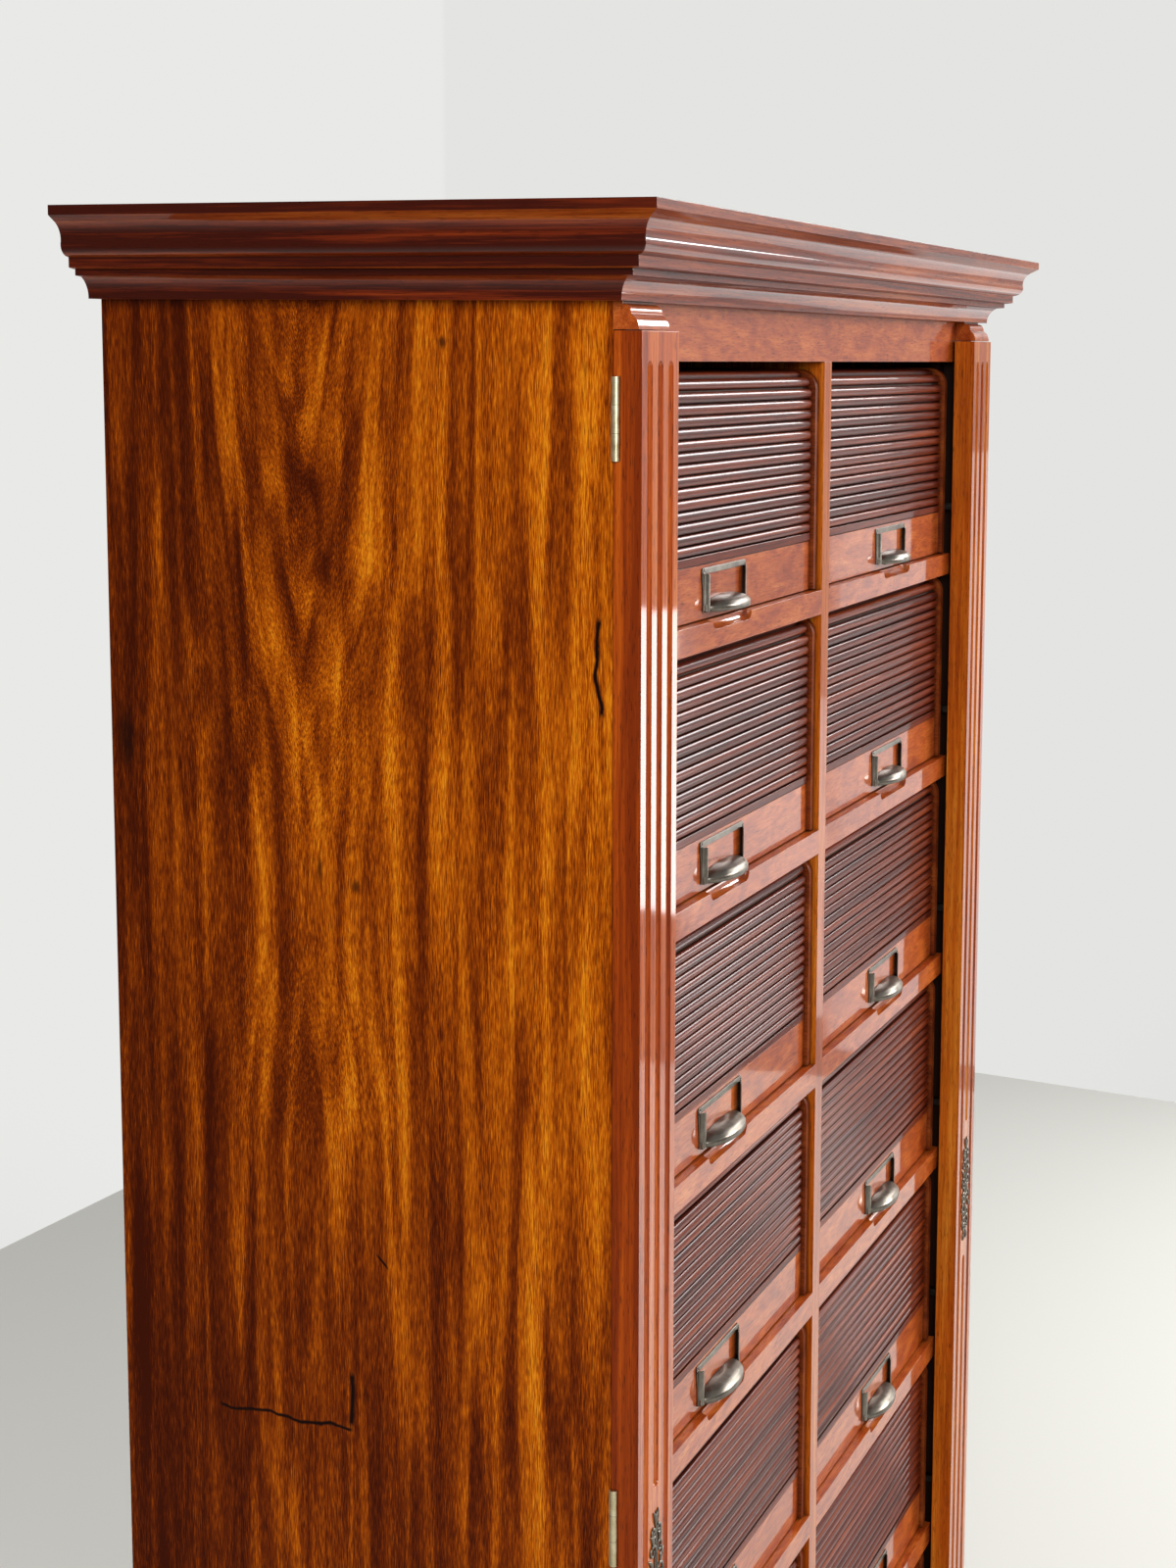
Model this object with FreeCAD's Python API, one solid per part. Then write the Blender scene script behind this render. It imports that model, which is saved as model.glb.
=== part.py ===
import FreeCAD, Part
import math
import os

Vector = FreeCAD.Vector

# All sizes are in millimetres. The origin is on the floor, under the middle of the cabinet's outline.
# X runs to the right along the front, Y runs to the back and Z runs up.

# How far a cutting shape reaches past the face it opens
cutter_overrun = 1.0

# Carcass
cabinet_width = 826.0
side_depth = 365.0
side_thickness = 19.0
back_thickness = 10.0
top_board_thickness = 12.0
top_board_drop = 6.6
partition_thickness = 17.0
frieze_thickness = 19.0
frame_setback = 2.2

# Drawer rows
row_count = 8
opening_height = 171.0
top_opening_extra = 5.0
rail_height = 19.0
rail_depth = 60.0
rail_outer_inset = 53.0
notch_width = 75.0
notch_radius = 6.0
inner_runner_width = 14.0
runner_overlap = 12.0
stop_width = 40.0
stop_height = 40.0
stop_thickness = 10.0
stop_gap = 0.6

# Stiles behind the pilasters, which guide the drawers
stile_depth = 45.0
stile_setback = 13.0
stile_step = 38.0

# Plinth
plinth_board_height = 68.0
plinth_cap_height = 12.0
plinth_projection = 10.0
plinth_thickness = 19.0
plinth_cap_lip = 4.0
plinth_cap_width = 54.0
plinth_front_projection = 31.0
glue_block_size = 30.0

# Cornice, with projections from the frieze and from the side panels
bed_base = 36.2
bed_top = 54.6
bed_projection = 13.4
bed_cove_height = 13.8
bed_cove_projection = 20.6
bed_cove_sag = 2.1
bed_fillet_projection = 26.6
bed_fillet_splay = 0.6
crown_top = 93.6
crown_projection = 52.6
crown_fillet_height = 6.2
crown_fillet_splay = 3.1
crown_hollow_projection = 47.6
crown_hollow_sag = 2.2
crown_waist_height = 16.9
crown_waist_projection = 40.5
crown_swell_height = 7.8
crown_swell_projection = 35.4
crown_swell_sag = 2.2
crown_bead_height = 7.2
crown_bead_projection = 33.0
crown_bead_splay = 0.8
crown_soffit_projection = 28.4

# Pilasters and the capitals above them
pilaster_width = 58.0
pilaster_thickness = 18.6
pilaster_joint_gap = 0.3
pilaster_top_rise = 18.6
pilaster_end_gap = 1.0
flute_count = 3
flute_width = 8.3
flute_depth = 3.0
flute_spacing = 16.5
flute_top_drop = 22.1
flute_bottom_rise = 30.0
flute_break_length = 142.0
capital_width = 48.0
capital_gap = 0.6
capital_foot_setback = 2.0
capital_cyma_step = 4.6
capital_cyma_height = 7.8
capital_fillet_step = 7.2
capital_fillet_splay = 2.3
capital_cyma_hollow = 0.6
capital_bead_step = 12.7
capital_bead_height = 16.0
capital_bead_swell = 1.4

# Hinges
hinge_length = 51.2
hinge_barrel_radius = 2.6
hinge_pin_radius = 1.0
hinge_pin_clearance = 0.05
hinge_axis_offset = 2.0
hinge_end_distance = 27.5
middle_hinge_raise = 10.0
leaf_width = 15.0
leaf_thickness = 1.2
knuckle_gap = 0.2
barrel_clearance = 0.3
hinge_screw_radius = 1.5
hinge_screw_length = 9.0
hinge_screw_head = 2.8
hinge_screw_inset = 9.5
hinge_screw_spacing = 17.0

# Locks
lock_drop = 40.0
lock_case_width = 26.0
lock_case_height = 70.0
lock_case_depth = 12.0
lock_case_wall = 1.5
keyhole_radius = 3.0
keyhole_slot_width = 3.0
keyhole_slot_length = 9.0
keyhole_drop = 20.0
bolt_width = 7.0
bolt_thickness = 3.0
bolt_length = 32.0
bolt_clearance = 0.4
staple_width = 12.0
staple_foot_height = 8.0
staple_rise = 9.0
staple_thickness = 2.0
staple_eye_clearance = 1.2
staple_web = 2.0
staple_tip_gap = 0.6
guide_height = 8.0
guide_drop = 12.0
guide_wall = 2.0
lug_width = 7.0
lug_height = 6.0
lug_depth = 10.0
lug_inner_edge = 50.0
lug_raise = 40.0
escutcheon_height = 105.0
escutcheon_width = 27.0
escutcheon_thickness = 1.5
escutcheon_waist_width = 17.0
escutcheon_tip_width = 12.0
escutcheon_tip_length = 7.0
escutcheon_shoulder_height = 32.0
escutcheon_waist_height = 5.0
escutcheon_foot_drop = 26.0

# Drawers
drawer_gap = 1.0
drawer_height = 169.0
drawer_lift = 1.0
drawer_recess = 4.0
drawer_side_thickness = 8.0
drawer_back_thickness = 10.0
drawer_back_drop = 12.0
drawer_bottom_thickness = 5.0
drawer_bottom_raise = 8.0
drawer_bottom_tongue = 4.0
front_height = 37.5
front_thickness = 12.0
front_setback = 3.5
front_tongue = 4.0
front_tongue_thickness = 6.0
side_corner_radius = 15.0

# Tambours
slat_pitch = 7.9
slat_joint = 0.5
slat_thickness = 5.0
slat_edge_thickness = 1.6
slat_end_gap = 1.0
slat_count = 24
slat_face_recess = 2.5
canvas_thickness = 0.8
canvas_tongue = 3.0
track_radius = 9.5
track_clearance = 0.7
track_depth = 4.0
track_top_drop = 6.5
track_end_distance = 25.0
bar_height = 6.0
bar_gap = 0.5

# Card frames and finger pulls
pull_from_partition_left = 193.0
pull_from_partition_right = 184.5
pull_raise = 5.0
card_frame_height = 30.0
card_opening_width = 70.0
card_channel_width = 4.0
card_channel_proud = 4.0
card_wall = 1.2
card_top_bar_height = 4.0
card_bottom_bar_height = 5.0
card_bottom_bar_proud = 3.0
card_flange_width = 2.6
card_flange_foot = 0.6
card_ear_height = 7.0
card_tab_width = 28.0
card_tab_height = 2.4
hood_width = 70.0
hood_depth = 16.0
hood_height = 5.3
hood_wall = 1.2
hood_edge_radius = 1.0
pull_screw_radius = 1.0
pull_screw_head_radius = 1.5
pull_screw_head_height = 0.6
pull_screw_length = 7.0
pull_tab_screw_spacing = 18.0

# Heights, from the floor up
half_width = cabinet_width / 2
plinth_top = plinth_board_height + plinth_cap_height
row_pitch = opening_height + rail_height
frieze_base = plinth_top + row_count * row_pitch + top_opening_extra
cabinet_top = frieze_base + crown_top
carcass_top = cabinet_top - top_board_drop
top_board_base = carcass_top - top_board_thickness

# Planes along Y, from the front to the back
panel_front = (crown_projection - frame_setback - side_depth) / 2
frame_front = panel_front + frame_setback
pilaster_back = panel_front - pilaster_joint_gap
pilaster_front = pilaster_back - pilaster_thickness
drawer_front = frame_front + drawer_recess
rail_back = frame_front + rail_depth
frieze_back = frame_front + frieze_thickness
carcass_back = panel_front + side_depth
back_panel_front = carcass_back - back_thickness
drawer_rear = back_panel_front - stop_thickness - stop_gap

# Pilaster, hinge and lock places
pilaster_base = plinth_top + pilaster_end_gap
pilaster_top = frieze_base + pilaster_top_rise
pilaster_middle = (pilaster_base + pilaster_top) / 2
pilaster_inner = half_width - pilaster_width
hinge_axis_y = panel_front - hinge_axis_offset
lock_height = pilaster_middle - lock_drop
lock_x = half_width - pilaster_width / 2
lock_case_front = pilaster_back - lock_case_depth

# Drawer sizes
inner_edge = partition_thickness / 2
drawer_width = pilaster_inner - inner_edge - 2 * drawer_gap
drawer_centre = inner_edge + drawer_gap + drawer_width / 2
drawer_depth = drawer_rear - drawer_front
slat_back = slat_face_recess + slat_thickness
canvas_line = slat_back + canvas_thickness / 2
track_top = drawer_height - track_top_drop
tambour_foot = front_height + bar_gap
front_back = front_setback + front_thickness


def box(x0, x1, y0, y1, z0, z1):
    return Part.makeBox(x1 - x0, y1 - y0, z1 - z0, Vector(x0, y0, z0))


def rod(radius, start, direction, length):
    return Part.makeCylinder(radius, length, start, direction)


def mirrored(shape):
    return shape.mirror(Vector(0, 0, 0), Vector(1, 0, 0))


def moved(shape, x, y, z):
    copy = shape.copy()
    copy.translate(Vector(x, y, z))
    return copy


def fused(shapes):
    return shapes[0].multiFuse(shapes[1:]).removeSplitter()


def prism(points, direction):
    wire = Part.makePolygon(points + [points[0]])
    return Part.Face(wire).extrude(direction)


def save(node, shapes):
    solids = [solid for shape in shapes for solid in shape.Solids]
    Part.Compound(solids).exportStep("parts/" + node + ".step")
    print(node, len(solids), "solids")


def rail_top(row):
    # Row 1 is the top row.
    return plinth_top + rail_height + (row_count - row) * row_pitch


def run_outline(place, steps):
    # Steps are points, or pairs of a middle point and an end point for an arc.
    edges = []
    start = steps[0]
    for step in steps[1:]:
        if isinstance(step[0], tuple):
            middle, end = step
            arc = Part.Arc(place(*start), place(*middle), place(*end))
            edges.append(arc.toShape())
        else:
            end = step
            edges.append(Part.LineSegment(place(*start), place(*end)).toShape())
        start = end
    if start != steps[0]:
        edges.append(Part.LineSegment(place(*start), place(*steps[0])).toShape())
    return Part.Face(Part.Wire(edges))


def mitred_runs(steps, front_plane, side_plane, reach):
    # A moulding along the front with a return down each side, mitred at the corners.
    length = 2 * (side_plane + reach)
    front_face = run_outline(lambda out, up: Vector(-side_plane - reach, front_plane - out, up), steps)
    front_run = front_face.extrude(Vector(length, 0, 0))
    front_plan = [
        Vector(-side_plane - reach, front_plane - reach, 0),
        Vector(side_plane + reach, front_plane - reach, 0),
        Vector(side_plane, front_plane, 0),
        Vector(-side_plane, front_plane, 0),
    ]
    front = front_run.common(prism(front_plan, Vector(0, 0, 2 * cabinet_top)))
    side_face = run_outline(lambda out, up: Vector(-side_plane - out, front_plane - reach, up), steps)
    side_run = side_face.extrude(Vector(0, carcass_back - front_plane + reach, 0))
    side_plan = [
        Vector(-side_plane - reach, front_plane - reach, 0),
        Vector(-side_plane, front_plane, 0),
        Vector(-side_plane, carcass_back, 0),
        Vector(-side_plane - reach, carcass_back, 0),
    ]
    side = side_run.common(prism(side_plan, Vector(0, 0, 2 * cabinet_top)))
    return [front, side, mirrored(side)]


# Carcass

def hinge_heights():
    half = hinge_length / 2
    return [
        pilaster_top - hinge_end_distance - half,
        pilaster_middle + middle_hinge_raise,
        pilaster_base + hinge_end_distance + half,
    ]


def hinge_screw_places(z):
    return [z - hinge_screw_spacing, z, z + hinge_screw_spacing]


def hinge_screw(z, y, toward_back):
    # A countersunk screw in the left leaf, with its head flush in the leaf.
    direction = Vector(0, 1 if toward_back else -1, 0)
    start = Vector(-half_width + hinge_screw_inset, y, z)
    head = Part.makeCone(hinge_screw_head, hinge_screw_radius, leaf_thickness, start, direction)
    shank = rod(hinge_screw_radius, start, direction, hinge_screw_length)
    return head.fuse(shank).removeSplitter()


def leaf_recess(z, y0, y1):
    half = hinge_length / 2
    return box(-half_width, -half_width + leaf_width, y0, y1, z - half, z + half)


def barrel_space(z):
    radius = hinge_barrel_radius + barrel_clearance
    start = Vector(-half_width, hinge_axis_y, z - hinge_length / 2)
    return rod(radius, start, Vector(0, 0, 1), hinge_length)


def make_side_panel():
    inner = half_width - side_thickness
    panel = box(-half_width, -inner, panel_front, carcass_back, plinth_top, carcass_top)
    for z in hinge_heights():
        panel = panel.cut(leaf_recess(z, panel_front, panel_front + leaf_thickness))
        panel = panel.cut(barrel_space(z))
        for screw_z in hinge_screw_places(z):
            panel = panel.cut(hinge_screw(screw_z, panel_front, True))
    return panel


def make_back_panel():
    inner = half_width - side_thickness
    return box(-inner, inner, back_panel_front, carcass_back, plinth_top, carcass_top)


def make_top_board():
    inner = half_width - side_thickness
    return box(-inner, inner, frieze_back, back_panel_front, top_board_base, carcass_top)


def make_bottom_board():
    inner = half_width - side_thickness
    return box(-inner, inner, rail_back, back_panel_front, plinth_top, plinth_top + rail_height)


def make_frieze():
    inner = half_width - side_thickness
    return box(-inner, inner, frame_front, frieze_back, frieze_base, carcass_top)


def make_partition(bottom_board, frieze):
    board = box(-inner_edge, inner_edge, frame_front, back_panel_front, plinth_top, top_board_base)
    return board.cut(bottom_board).cut(frieze)


def make_notch(centre, top):
    straight = notch_width - 2 * notch_radius
    start = Vector(centre - straight / 2, frame_front, top)
    end = Vector(centre + straight / 2, frame_front, top)
    groove = rod(notch_radius, start, Vector(1, 0, 0), straight)
    return fused([groove, Part.makeSphere(notch_radius, start), Part.makeSphere(notch_radius, end)])


def make_rails():
    outer = half_width - rail_outer_inset
    rails = []
    for row in range(1, row_count + 1):
        top = rail_top(row)
        left = box(-outer, -inner_edge, frame_front, rail_back, top - rail_height, top)
        right = box(inner_edge, outer, frame_front, rail_back, top - rail_height, top)
        rails.append(left.cut(make_notch(-inner_edge - pull_from_partition_left, top)))
        rails.append(right.cut(make_notch(inner_edge + pull_from_partition_right, top)))
    return rails


def make_stile(rails):
    # An L in plan: full depth beside the side panel, set back where the drawers' ends would show.
    outer = half_width - side_thickness
    step = half_width - stile_step
    back = frame_front + stile_depth
    edge = box(-outer, -step, frame_front, back, plinth_top, frieze_base)
    face = box(-step, -pilaster_inner, frame_front + stile_setback, back, plinth_top, frieze_base)
    stile = edge.fuse(face).removeSplitter()
    return stile.cut(Part.Compound(rails))


def make_runners_and_stops():
    pieces = []
    outer = half_width - side_thickness
    drawer_outer = inner_edge + drawer_gap + drawer_width
    for row in range(1, row_count + 1):
        top = rail_top(row)
        if row < row_count:
            outer_runner = box(
                -outer,
                -drawer_outer + runner_overlap,
                rail_back,
                back_panel_front,
                top - rail_height,
                top,
            )
            inner_runner = box(
                -inner_edge - inner_runner_width,
                -inner_edge,
                rail_back,
                back_panel_front,
                top - rail_height,
                top,
            )
            pieces += [outer_runner, mirrored(outer_runner), inner_runner, mirrored(inner_runner)]
        stop = box(
            -drawer_centre - stop_width / 2,
            -drawer_centre + stop_width / 2,
            back_panel_front - stop_thickness,
            back_panel_front,
            top + stop_height / 2,
            top + stop_height * 1.5,
        )
        pieces += [stop, mirrored(stop)]
    return pieces


# Plinth and cornice

def make_plinth():
    front_plane = panel_front - plinth_front_projection + plinth_thickness
    side_plane = half_width + plinth_projection - plinth_thickness
    board = [
        (0.0, 0.0),
        (plinth_thickness, 0.0),
        (plinth_thickness, plinth_board_height),
        (0.0, plinth_board_height),
    ]
    boards = mitred_runs(board, front_plane, side_plane, plinth_thickness)
    back = box(-side_plane, side_plane, carcass_back - plinth_thickness, carcass_back, 0, plinth_board_height)
    cap_side_plane = half_width + plinth_projection + plinth_cap_lip - plinth_cap_width
    cap_front_plane = panel_front - plinth_front_projection - plinth_cap_lip + plinth_cap_width
    round_start = plinth_cap_width - plinth_cap_height / 2
    cap = [
        (0.0, plinth_board_height),
        (round_start, plinth_board_height),
        ((plinth_cap_width, plinth_board_height + plinth_cap_height / 2), (round_start, plinth_top)),
        (0.0, plinth_top),
    ]
    caps = mitred_runs(cap, cap_front_plane, cap_side_plane, plinth_cap_width)
    blocks = []
    for y in (front_plane, carcass_back - plinth_thickness - glue_block_size):
        block = box(
            -side_plane, -side_plane + glue_block_size, y, y + glue_block_size, 0, plinth_board_height
        )
        blocks += [block, mirrored(block)]
    return boards + [back] + caps + blocks


def bulged(start, end, sag):
    # The middle and the end of an arc that stands off its chord to the left by the sag.
    across = end[0] - start[0]
    rise = end[1] - start[1]
    length = math.hypot(across, rise)
    middle_out = (start[0] + end[0]) / 2 - rise * sag / length
    middle_up = (start[1] + end[1]) / 2 + across * sag / length
    return (middle_out, middle_up), end


def crown_steps():
    base = frieze_base + bed_top
    top = frieze_base + crown_top
    fillet_base = top - crown_fillet_height
    swell_foot = (crown_swell_projection, base + crown_swell_height)
    waist = (crown_waist_projection, base + crown_waist_height)
    hollow_top = (crown_hollow_projection, fillet_base - crown_fillet_splay)
    return [
        (0.0, base),
        (crown_soffit_projection, base),
        (crown_bead_projection, base + crown_bead_splay),
        (crown_bead_projection, base + crown_bead_height),
        swell_foot,
        bulged(swell_foot, waist, -crown_swell_sag),
        bulged(waist, hollow_top, crown_hollow_sag),
        (crown_projection, fillet_base),
        (crown_projection, top),
        (0.0, top),
    ]


def bed_steps():
    base = frieze_base + bed_base
    top = frieze_base + bed_top
    cove_foot = (bed_projection, base)
    cove_top = (bed_cove_projection, base + bed_cove_height)
    return [
        (0.0, base),
        cove_foot,
        bulged(cove_foot, cove_top, bed_cove_sag),
        (bed_fillet_projection, cove_top[1] + bed_fillet_splay),
        (bed_fillet_projection, top),
        (0.0, top),
    ]


def make_cornice(steps, side_panels):
    runs = mitred_runs(steps, frame_front, half_width, crown_projection + cutter_overrun)
    return [run.cut(side_panels) for run in runs]


def make_capital(side_panels):
    base = pilaster_top + capital_gap
    cyma_top = (pilaster_front + capital_cyma_step, pilaster_top + capital_cyma_height)
    cyma_middle = (pilaster_front + capital_foot_setback + capital_cyma_hollow, (base + cyma_top[1]) / 2)
    fillet = (pilaster_front + capital_fillet_step, cyma_top[1] + capital_fillet_splay)
    bead_top = (pilaster_front + capital_bead_step, pilaster_top + capital_bead_height)
    bead_middle = (fillet[0] + capital_bead_swell, (fillet[1] + bead_top[1]) / 2 + capital_bead_swell)
    top = frieze_base + bed_base
    steps = [
        (frame_front, base),
        (pilaster_front + capital_foot_setback, base),
        (cyma_middle, cyma_top),
        fillet,
        (bead_middle, bead_top),
        (pilaster_front + capital_bead_step, top),
        (frame_front, top),
    ]
    face = run_outline(lambda y, z: Vector(-half_width, y, z), steps)
    return face.extrude(Vector(capital_width, 0, 0)).cut(side_panels)


# Hinges

def knuckle(z0, z1):
    start = Vector(-half_width, hinge_axis_y, z0)
    return rod(hinge_barrel_radius, start, Vector(0, 0, 1), z1 - z0)


def make_leaf(z, plate, own, other, bore_radius):
    # Own and other are the height spans of this leaf's knuckles and of the mating leaf's.
    leaf = fused([plate] + [knuckle(*span) for span in own])
    radius = hinge_barrel_radius + barrel_clearance
    for low, high in other:
        start = Vector(-half_width, hinge_axis_y, low - knuckle_gap)
        leaf = leaf.cut(rod(radius, start, Vector(0, 0, 1), high - low + 2 * knuckle_gap))
    half = hinge_length / 2
    bore = rod(bore_radius, Vector(-half_width, hinge_axis_y, z - half), Vector(0, 0, 1), hinge_length)
    return leaf.cut(bore)


def hinge_spans(z):
    half = hinge_length / 2
    third = hinge_length / 3
    outer = [(z - half, z - half + third - knuckle_gap), (z + half - third + knuckle_gap, z + half)]
    middle = [(z - half + third, z + half - third)]
    return outer, middle


def make_left_hinges():
    carcass_leaves = []
    pilaster_leaves = []
    pins = []
    carcass_screws = []
    pilaster_screws = []
    for z in hinge_heights():
        outer, middle = hinge_spans(z)
        carcass_plate = leaf_recess(z, panel_front, panel_front + leaf_thickness)
        pilaster_plate = leaf_recess(z, pilaster_back - leaf_thickness, pilaster_back)
        carcass_leaf = make_leaf(z, carcass_plate, outer, middle, hinge_pin_radius)
        pilaster_leaf = make_leaf(z, pilaster_plate, middle, outer, hinge_pin_radius + hinge_pin_clearance)
        for screw_z in hinge_screw_places(z):
            carcass_screw = hinge_screw(screw_z, panel_front, True)
            pilaster_screw = hinge_screw(screw_z, pilaster_back, False)
            carcass_leaf = carcass_leaf.cut(carcass_screw)
            pilaster_leaf = pilaster_leaf.cut(pilaster_screw)
            carcass_screws.append(carcass_screw)
            pilaster_screws.append(pilaster_screw)
        carcass_leaves.append(carcass_leaf)
        pilaster_leaves.append(pilaster_leaf)
        half = hinge_length / 2
        start = Vector(-half_width, hinge_axis_y, z - half)
        pins.append(rod(hinge_pin_radius, start, Vector(0, 0, 1), hinge_length))
    return carcass_leaves, pins, carcass_screws, pilaster_leaves + pilaster_screws


# Pilasters and locks

def make_flute(x, low, high):
    radius = (flute_width * flute_width / 4 + flute_depth * flute_depth) / (2 * flute_depth)
    y = pilaster_front + flute_depth - radius
    foot = Vector(x, y, low)
    head = Vector(x, y, high)
    groove = rod(radius, foot, Vector(0, 0, 1), high - low)
    return fused([groove, Part.makeSphere(radius, foot), Part.makeSphere(radius, head)])


def keyhole_cutter(y0, y1):
    eye_z = lock_height - keyhole_drop
    eye = rod(keyhole_radius, Vector(-lock_x, y0, eye_z), Vector(0, 1, 0), y1 - y0)
    half = keyhole_slot_width / 2
    slot = box(-lock_x - half, -lock_x + half, y0, y1, eye_z - keyhole_slot_length, eye_z)
    return eye.fuse(slot).removeSplitter()


def lock_case_box(shrink, back):
    half_x = lock_case_width / 2 - shrink
    half_z = lock_case_height / 2 - shrink
    front = lock_case_front + shrink
    return box(-lock_x - half_x, -lock_x + half_x, front, back, lock_height - half_z, lock_height + half_z)


def make_pilaster():
    board = box(-half_width, -pilaster_inner, pilaster_front, pilaster_back, pilaster_base, pilaster_top)
    low = pilaster_base + flute_bottom_rise
    high = pilaster_top - flute_top_drop
    flutes = []
    for index in range(flute_count):
        x = -lock_x + (index - (flute_count - 1) / 2) * flute_spacing
        if abs(x + lock_x) < flute_spacing / 2:
            half = flute_break_length / 2
            flutes.append(make_flute(x, low, lock_height - half))
            flutes.append(make_flute(x, lock_height + half, high))
        else:
            flutes.append(make_flute(x, low, high))
    board = board.cut(Part.Compound(flutes))
    for z in hinge_heights():
        board = board.cut(leaf_recess(z, pilaster_back - leaf_thickness, pilaster_back))
        board = board.cut(barrel_space(z))
        for screw_z in hinge_screw_places(z):
            board = board.cut(hinge_screw(screw_z, pilaster_back, False))
    board = board.cut(lock_case_box(0, pilaster_back))
    return board.cut(keyhole_cutter(pilaster_front, lock_case_front))


def bolt_front():
    return staple_tip() + staple_web + staple_eye_clearance


def staple_tip():
    return lock_case_front + lock_case_wall + staple_tip_gap


def make_bolt(play):
    half = bolt_width / 2 + play
    front = bolt_front() - play
    back = bolt_front() + bolt_thickness + play
    foot = lock_height - bolt_length - play
    return box(-lock_x - half, -lock_x + half, front, back, foot, lock_height + play)


def make_lock_parts():
    # A steel case with an open back and a guide for the bolt, and one lug above each drawer's front board.
    hollow = lock_case_box(lock_case_wall, pilaster_back + cutter_overrun)
    case = lock_case_box(0, pilaster_back).cut(hollow)
    guide_half = bolt_width / 2 + guide_wall
    guide_base = lock_height - guide_drop
    guide = box(
        -lock_x - guide_half,
        -lock_x + guide_half,
        lock_case_front,
        bolt_front() + bolt_thickness + guide_wall,
        guide_base,
        guide_base + guide_height,
    )
    case = case.fuse(guide).removeSplitter().cut(make_bolt(bolt_clearance))
    case = case.cut(keyhole_cutter(lock_case_front - cutter_overrun, lock_case_front + lock_case_wall))
    parts = [case]
    inner = half_width - lug_inner_edge
    for row in range(1, row_count + 1):
        z = rail_top(row) + lug_raise
        lug = box(-inner - lug_width, -inner, pilaster_back, pilaster_back + lug_depth, z, z + lug_height)
        parts.append(lug)
    return parts


def make_staple():
    # A plate on the stile's front that reaches into the open lock case, with an eye for the bolt.
    z = lock_height + staple_rise
    half = staple_width / 2
    plate = box(-lock_x - half, -lock_x + half, staple_tip(), frame_front, z, z + staple_thickness)
    eye_half = bolt_width / 2 + staple_eye_clearance
    eye_back = bolt_front() + bolt_thickness + staple_eye_clearance
    eye = box(
        -lock_x - eye_half,
        -lock_x + eye_half,
        staple_tip() + staple_web,
        eye_back,
        z - cutter_overrun,
        z + staple_thickness + cutter_overrun,
    )
    foot_end = -half_width + stile_step
    foot_front = frame_front - staple_thickness
    foot = box(-lock_x - half, foot_end, foot_front, frame_front, z - staple_foot_height, z)
    return plate.cut(eye).fuse(foot).removeSplitter()


def make_escutcheon():
    half_height = escutcheon_height / 2
    half_width_here = escutcheon_width / 2
    waist = escutcheon_waist_width / 2
    tip = escutcheon_tip_width / 2
    tip_height = half_height - escutcheon_tip_length
    shoulder = escutcheon_shoulder_height
    middle = escutcheon_waist_height
    foot = -escutcheon_foot_drop
    steps = [
        (0.0, half_height),
        ((tip, tip_height), (waist, shoulder)),
        ((half_width_here, (shoulder + middle) / 2), (waist, middle)),
        ((half_width_here, (middle + foot) / 2), (waist, foot)),
        ((tip, -tip_height), (0.0, -half_height)),
        ((-tip, -tip_height), (-waist, foot)),
        ((-half_width_here, (middle + foot) / 2), (-waist, middle)),
        ((-half_width_here, (shoulder + middle) / 2), (-waist, shoulder)),
        ((-tip, tip_height), (0.0, half_height)),
    ]
    front = pilaster_front - escutcheon_thickness
    face = run_outline(lambda x, z: Vector(-lock_x + x, front, lock_height + z), steps)
    plate = face.extrude(Vector(0, escutcheon_thickness, 0))
    return plate.cut(keyhole_cutter(front - cutter_overrun, pilaster_front + cutter_overrun))


# Drawers, drawn with X across from the middle, Y from the sides' front edges back and Z from the base

def make_drawer_side():
    top = drawer_height
    radius = side_corner_radius
    corner = radius * (1 - math.sqrt(0.5))
    steps = [
        (0.0, 0.0),
        (drawer_depth, 0.0),
        (drawer_depth, top),
        (radius, top),
        ((corner, top - corner), (0.0, top - radius)),
    ]
    face = run_outline(lambda y, z: Vector(-drawer_width / 2, y, z), steps)
    return face.extrude(Vector(drawer_side_thickness, 0, 0))


def track_band(x0, width, half, low, rear):
    # A band along the tambour's track: up the front, round the corner and back along the top.
    # Half is half the band's thickness.
    outer = canvas_line - half
    inner = canvas_line + half
    centre_y = canvas_line + track_radius
    centre_z = track_top - track_radius
    diagonal = math.sqrt(0.5)
    outer_radius = track_radius + half
    inner_radius = track_radius - half
    steps = [
        (outer, low),
        (outer, centre_z),
        (
            (centre_y - outer_radius * diagonal, centre_z + outer_radius * diagonal),
            (centre_y, centre_z + outer_radius),
        ),
        (rear, centre_z + outer_radius),
        (rear, centre_z + inner_radius),
        (centre_y, centre_z + inner_radius),
        (
            (centre_y - inner_radius * diagonal, centre_z + inner_radius * diagonal),
            (inner, centre_z),
        ),
        (inner, low),
    ]
    face = run_outline(lambda y, z: Vector(x0, y, z), steps)
    return face.extrude(Vector(width, 0, 0))


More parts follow.
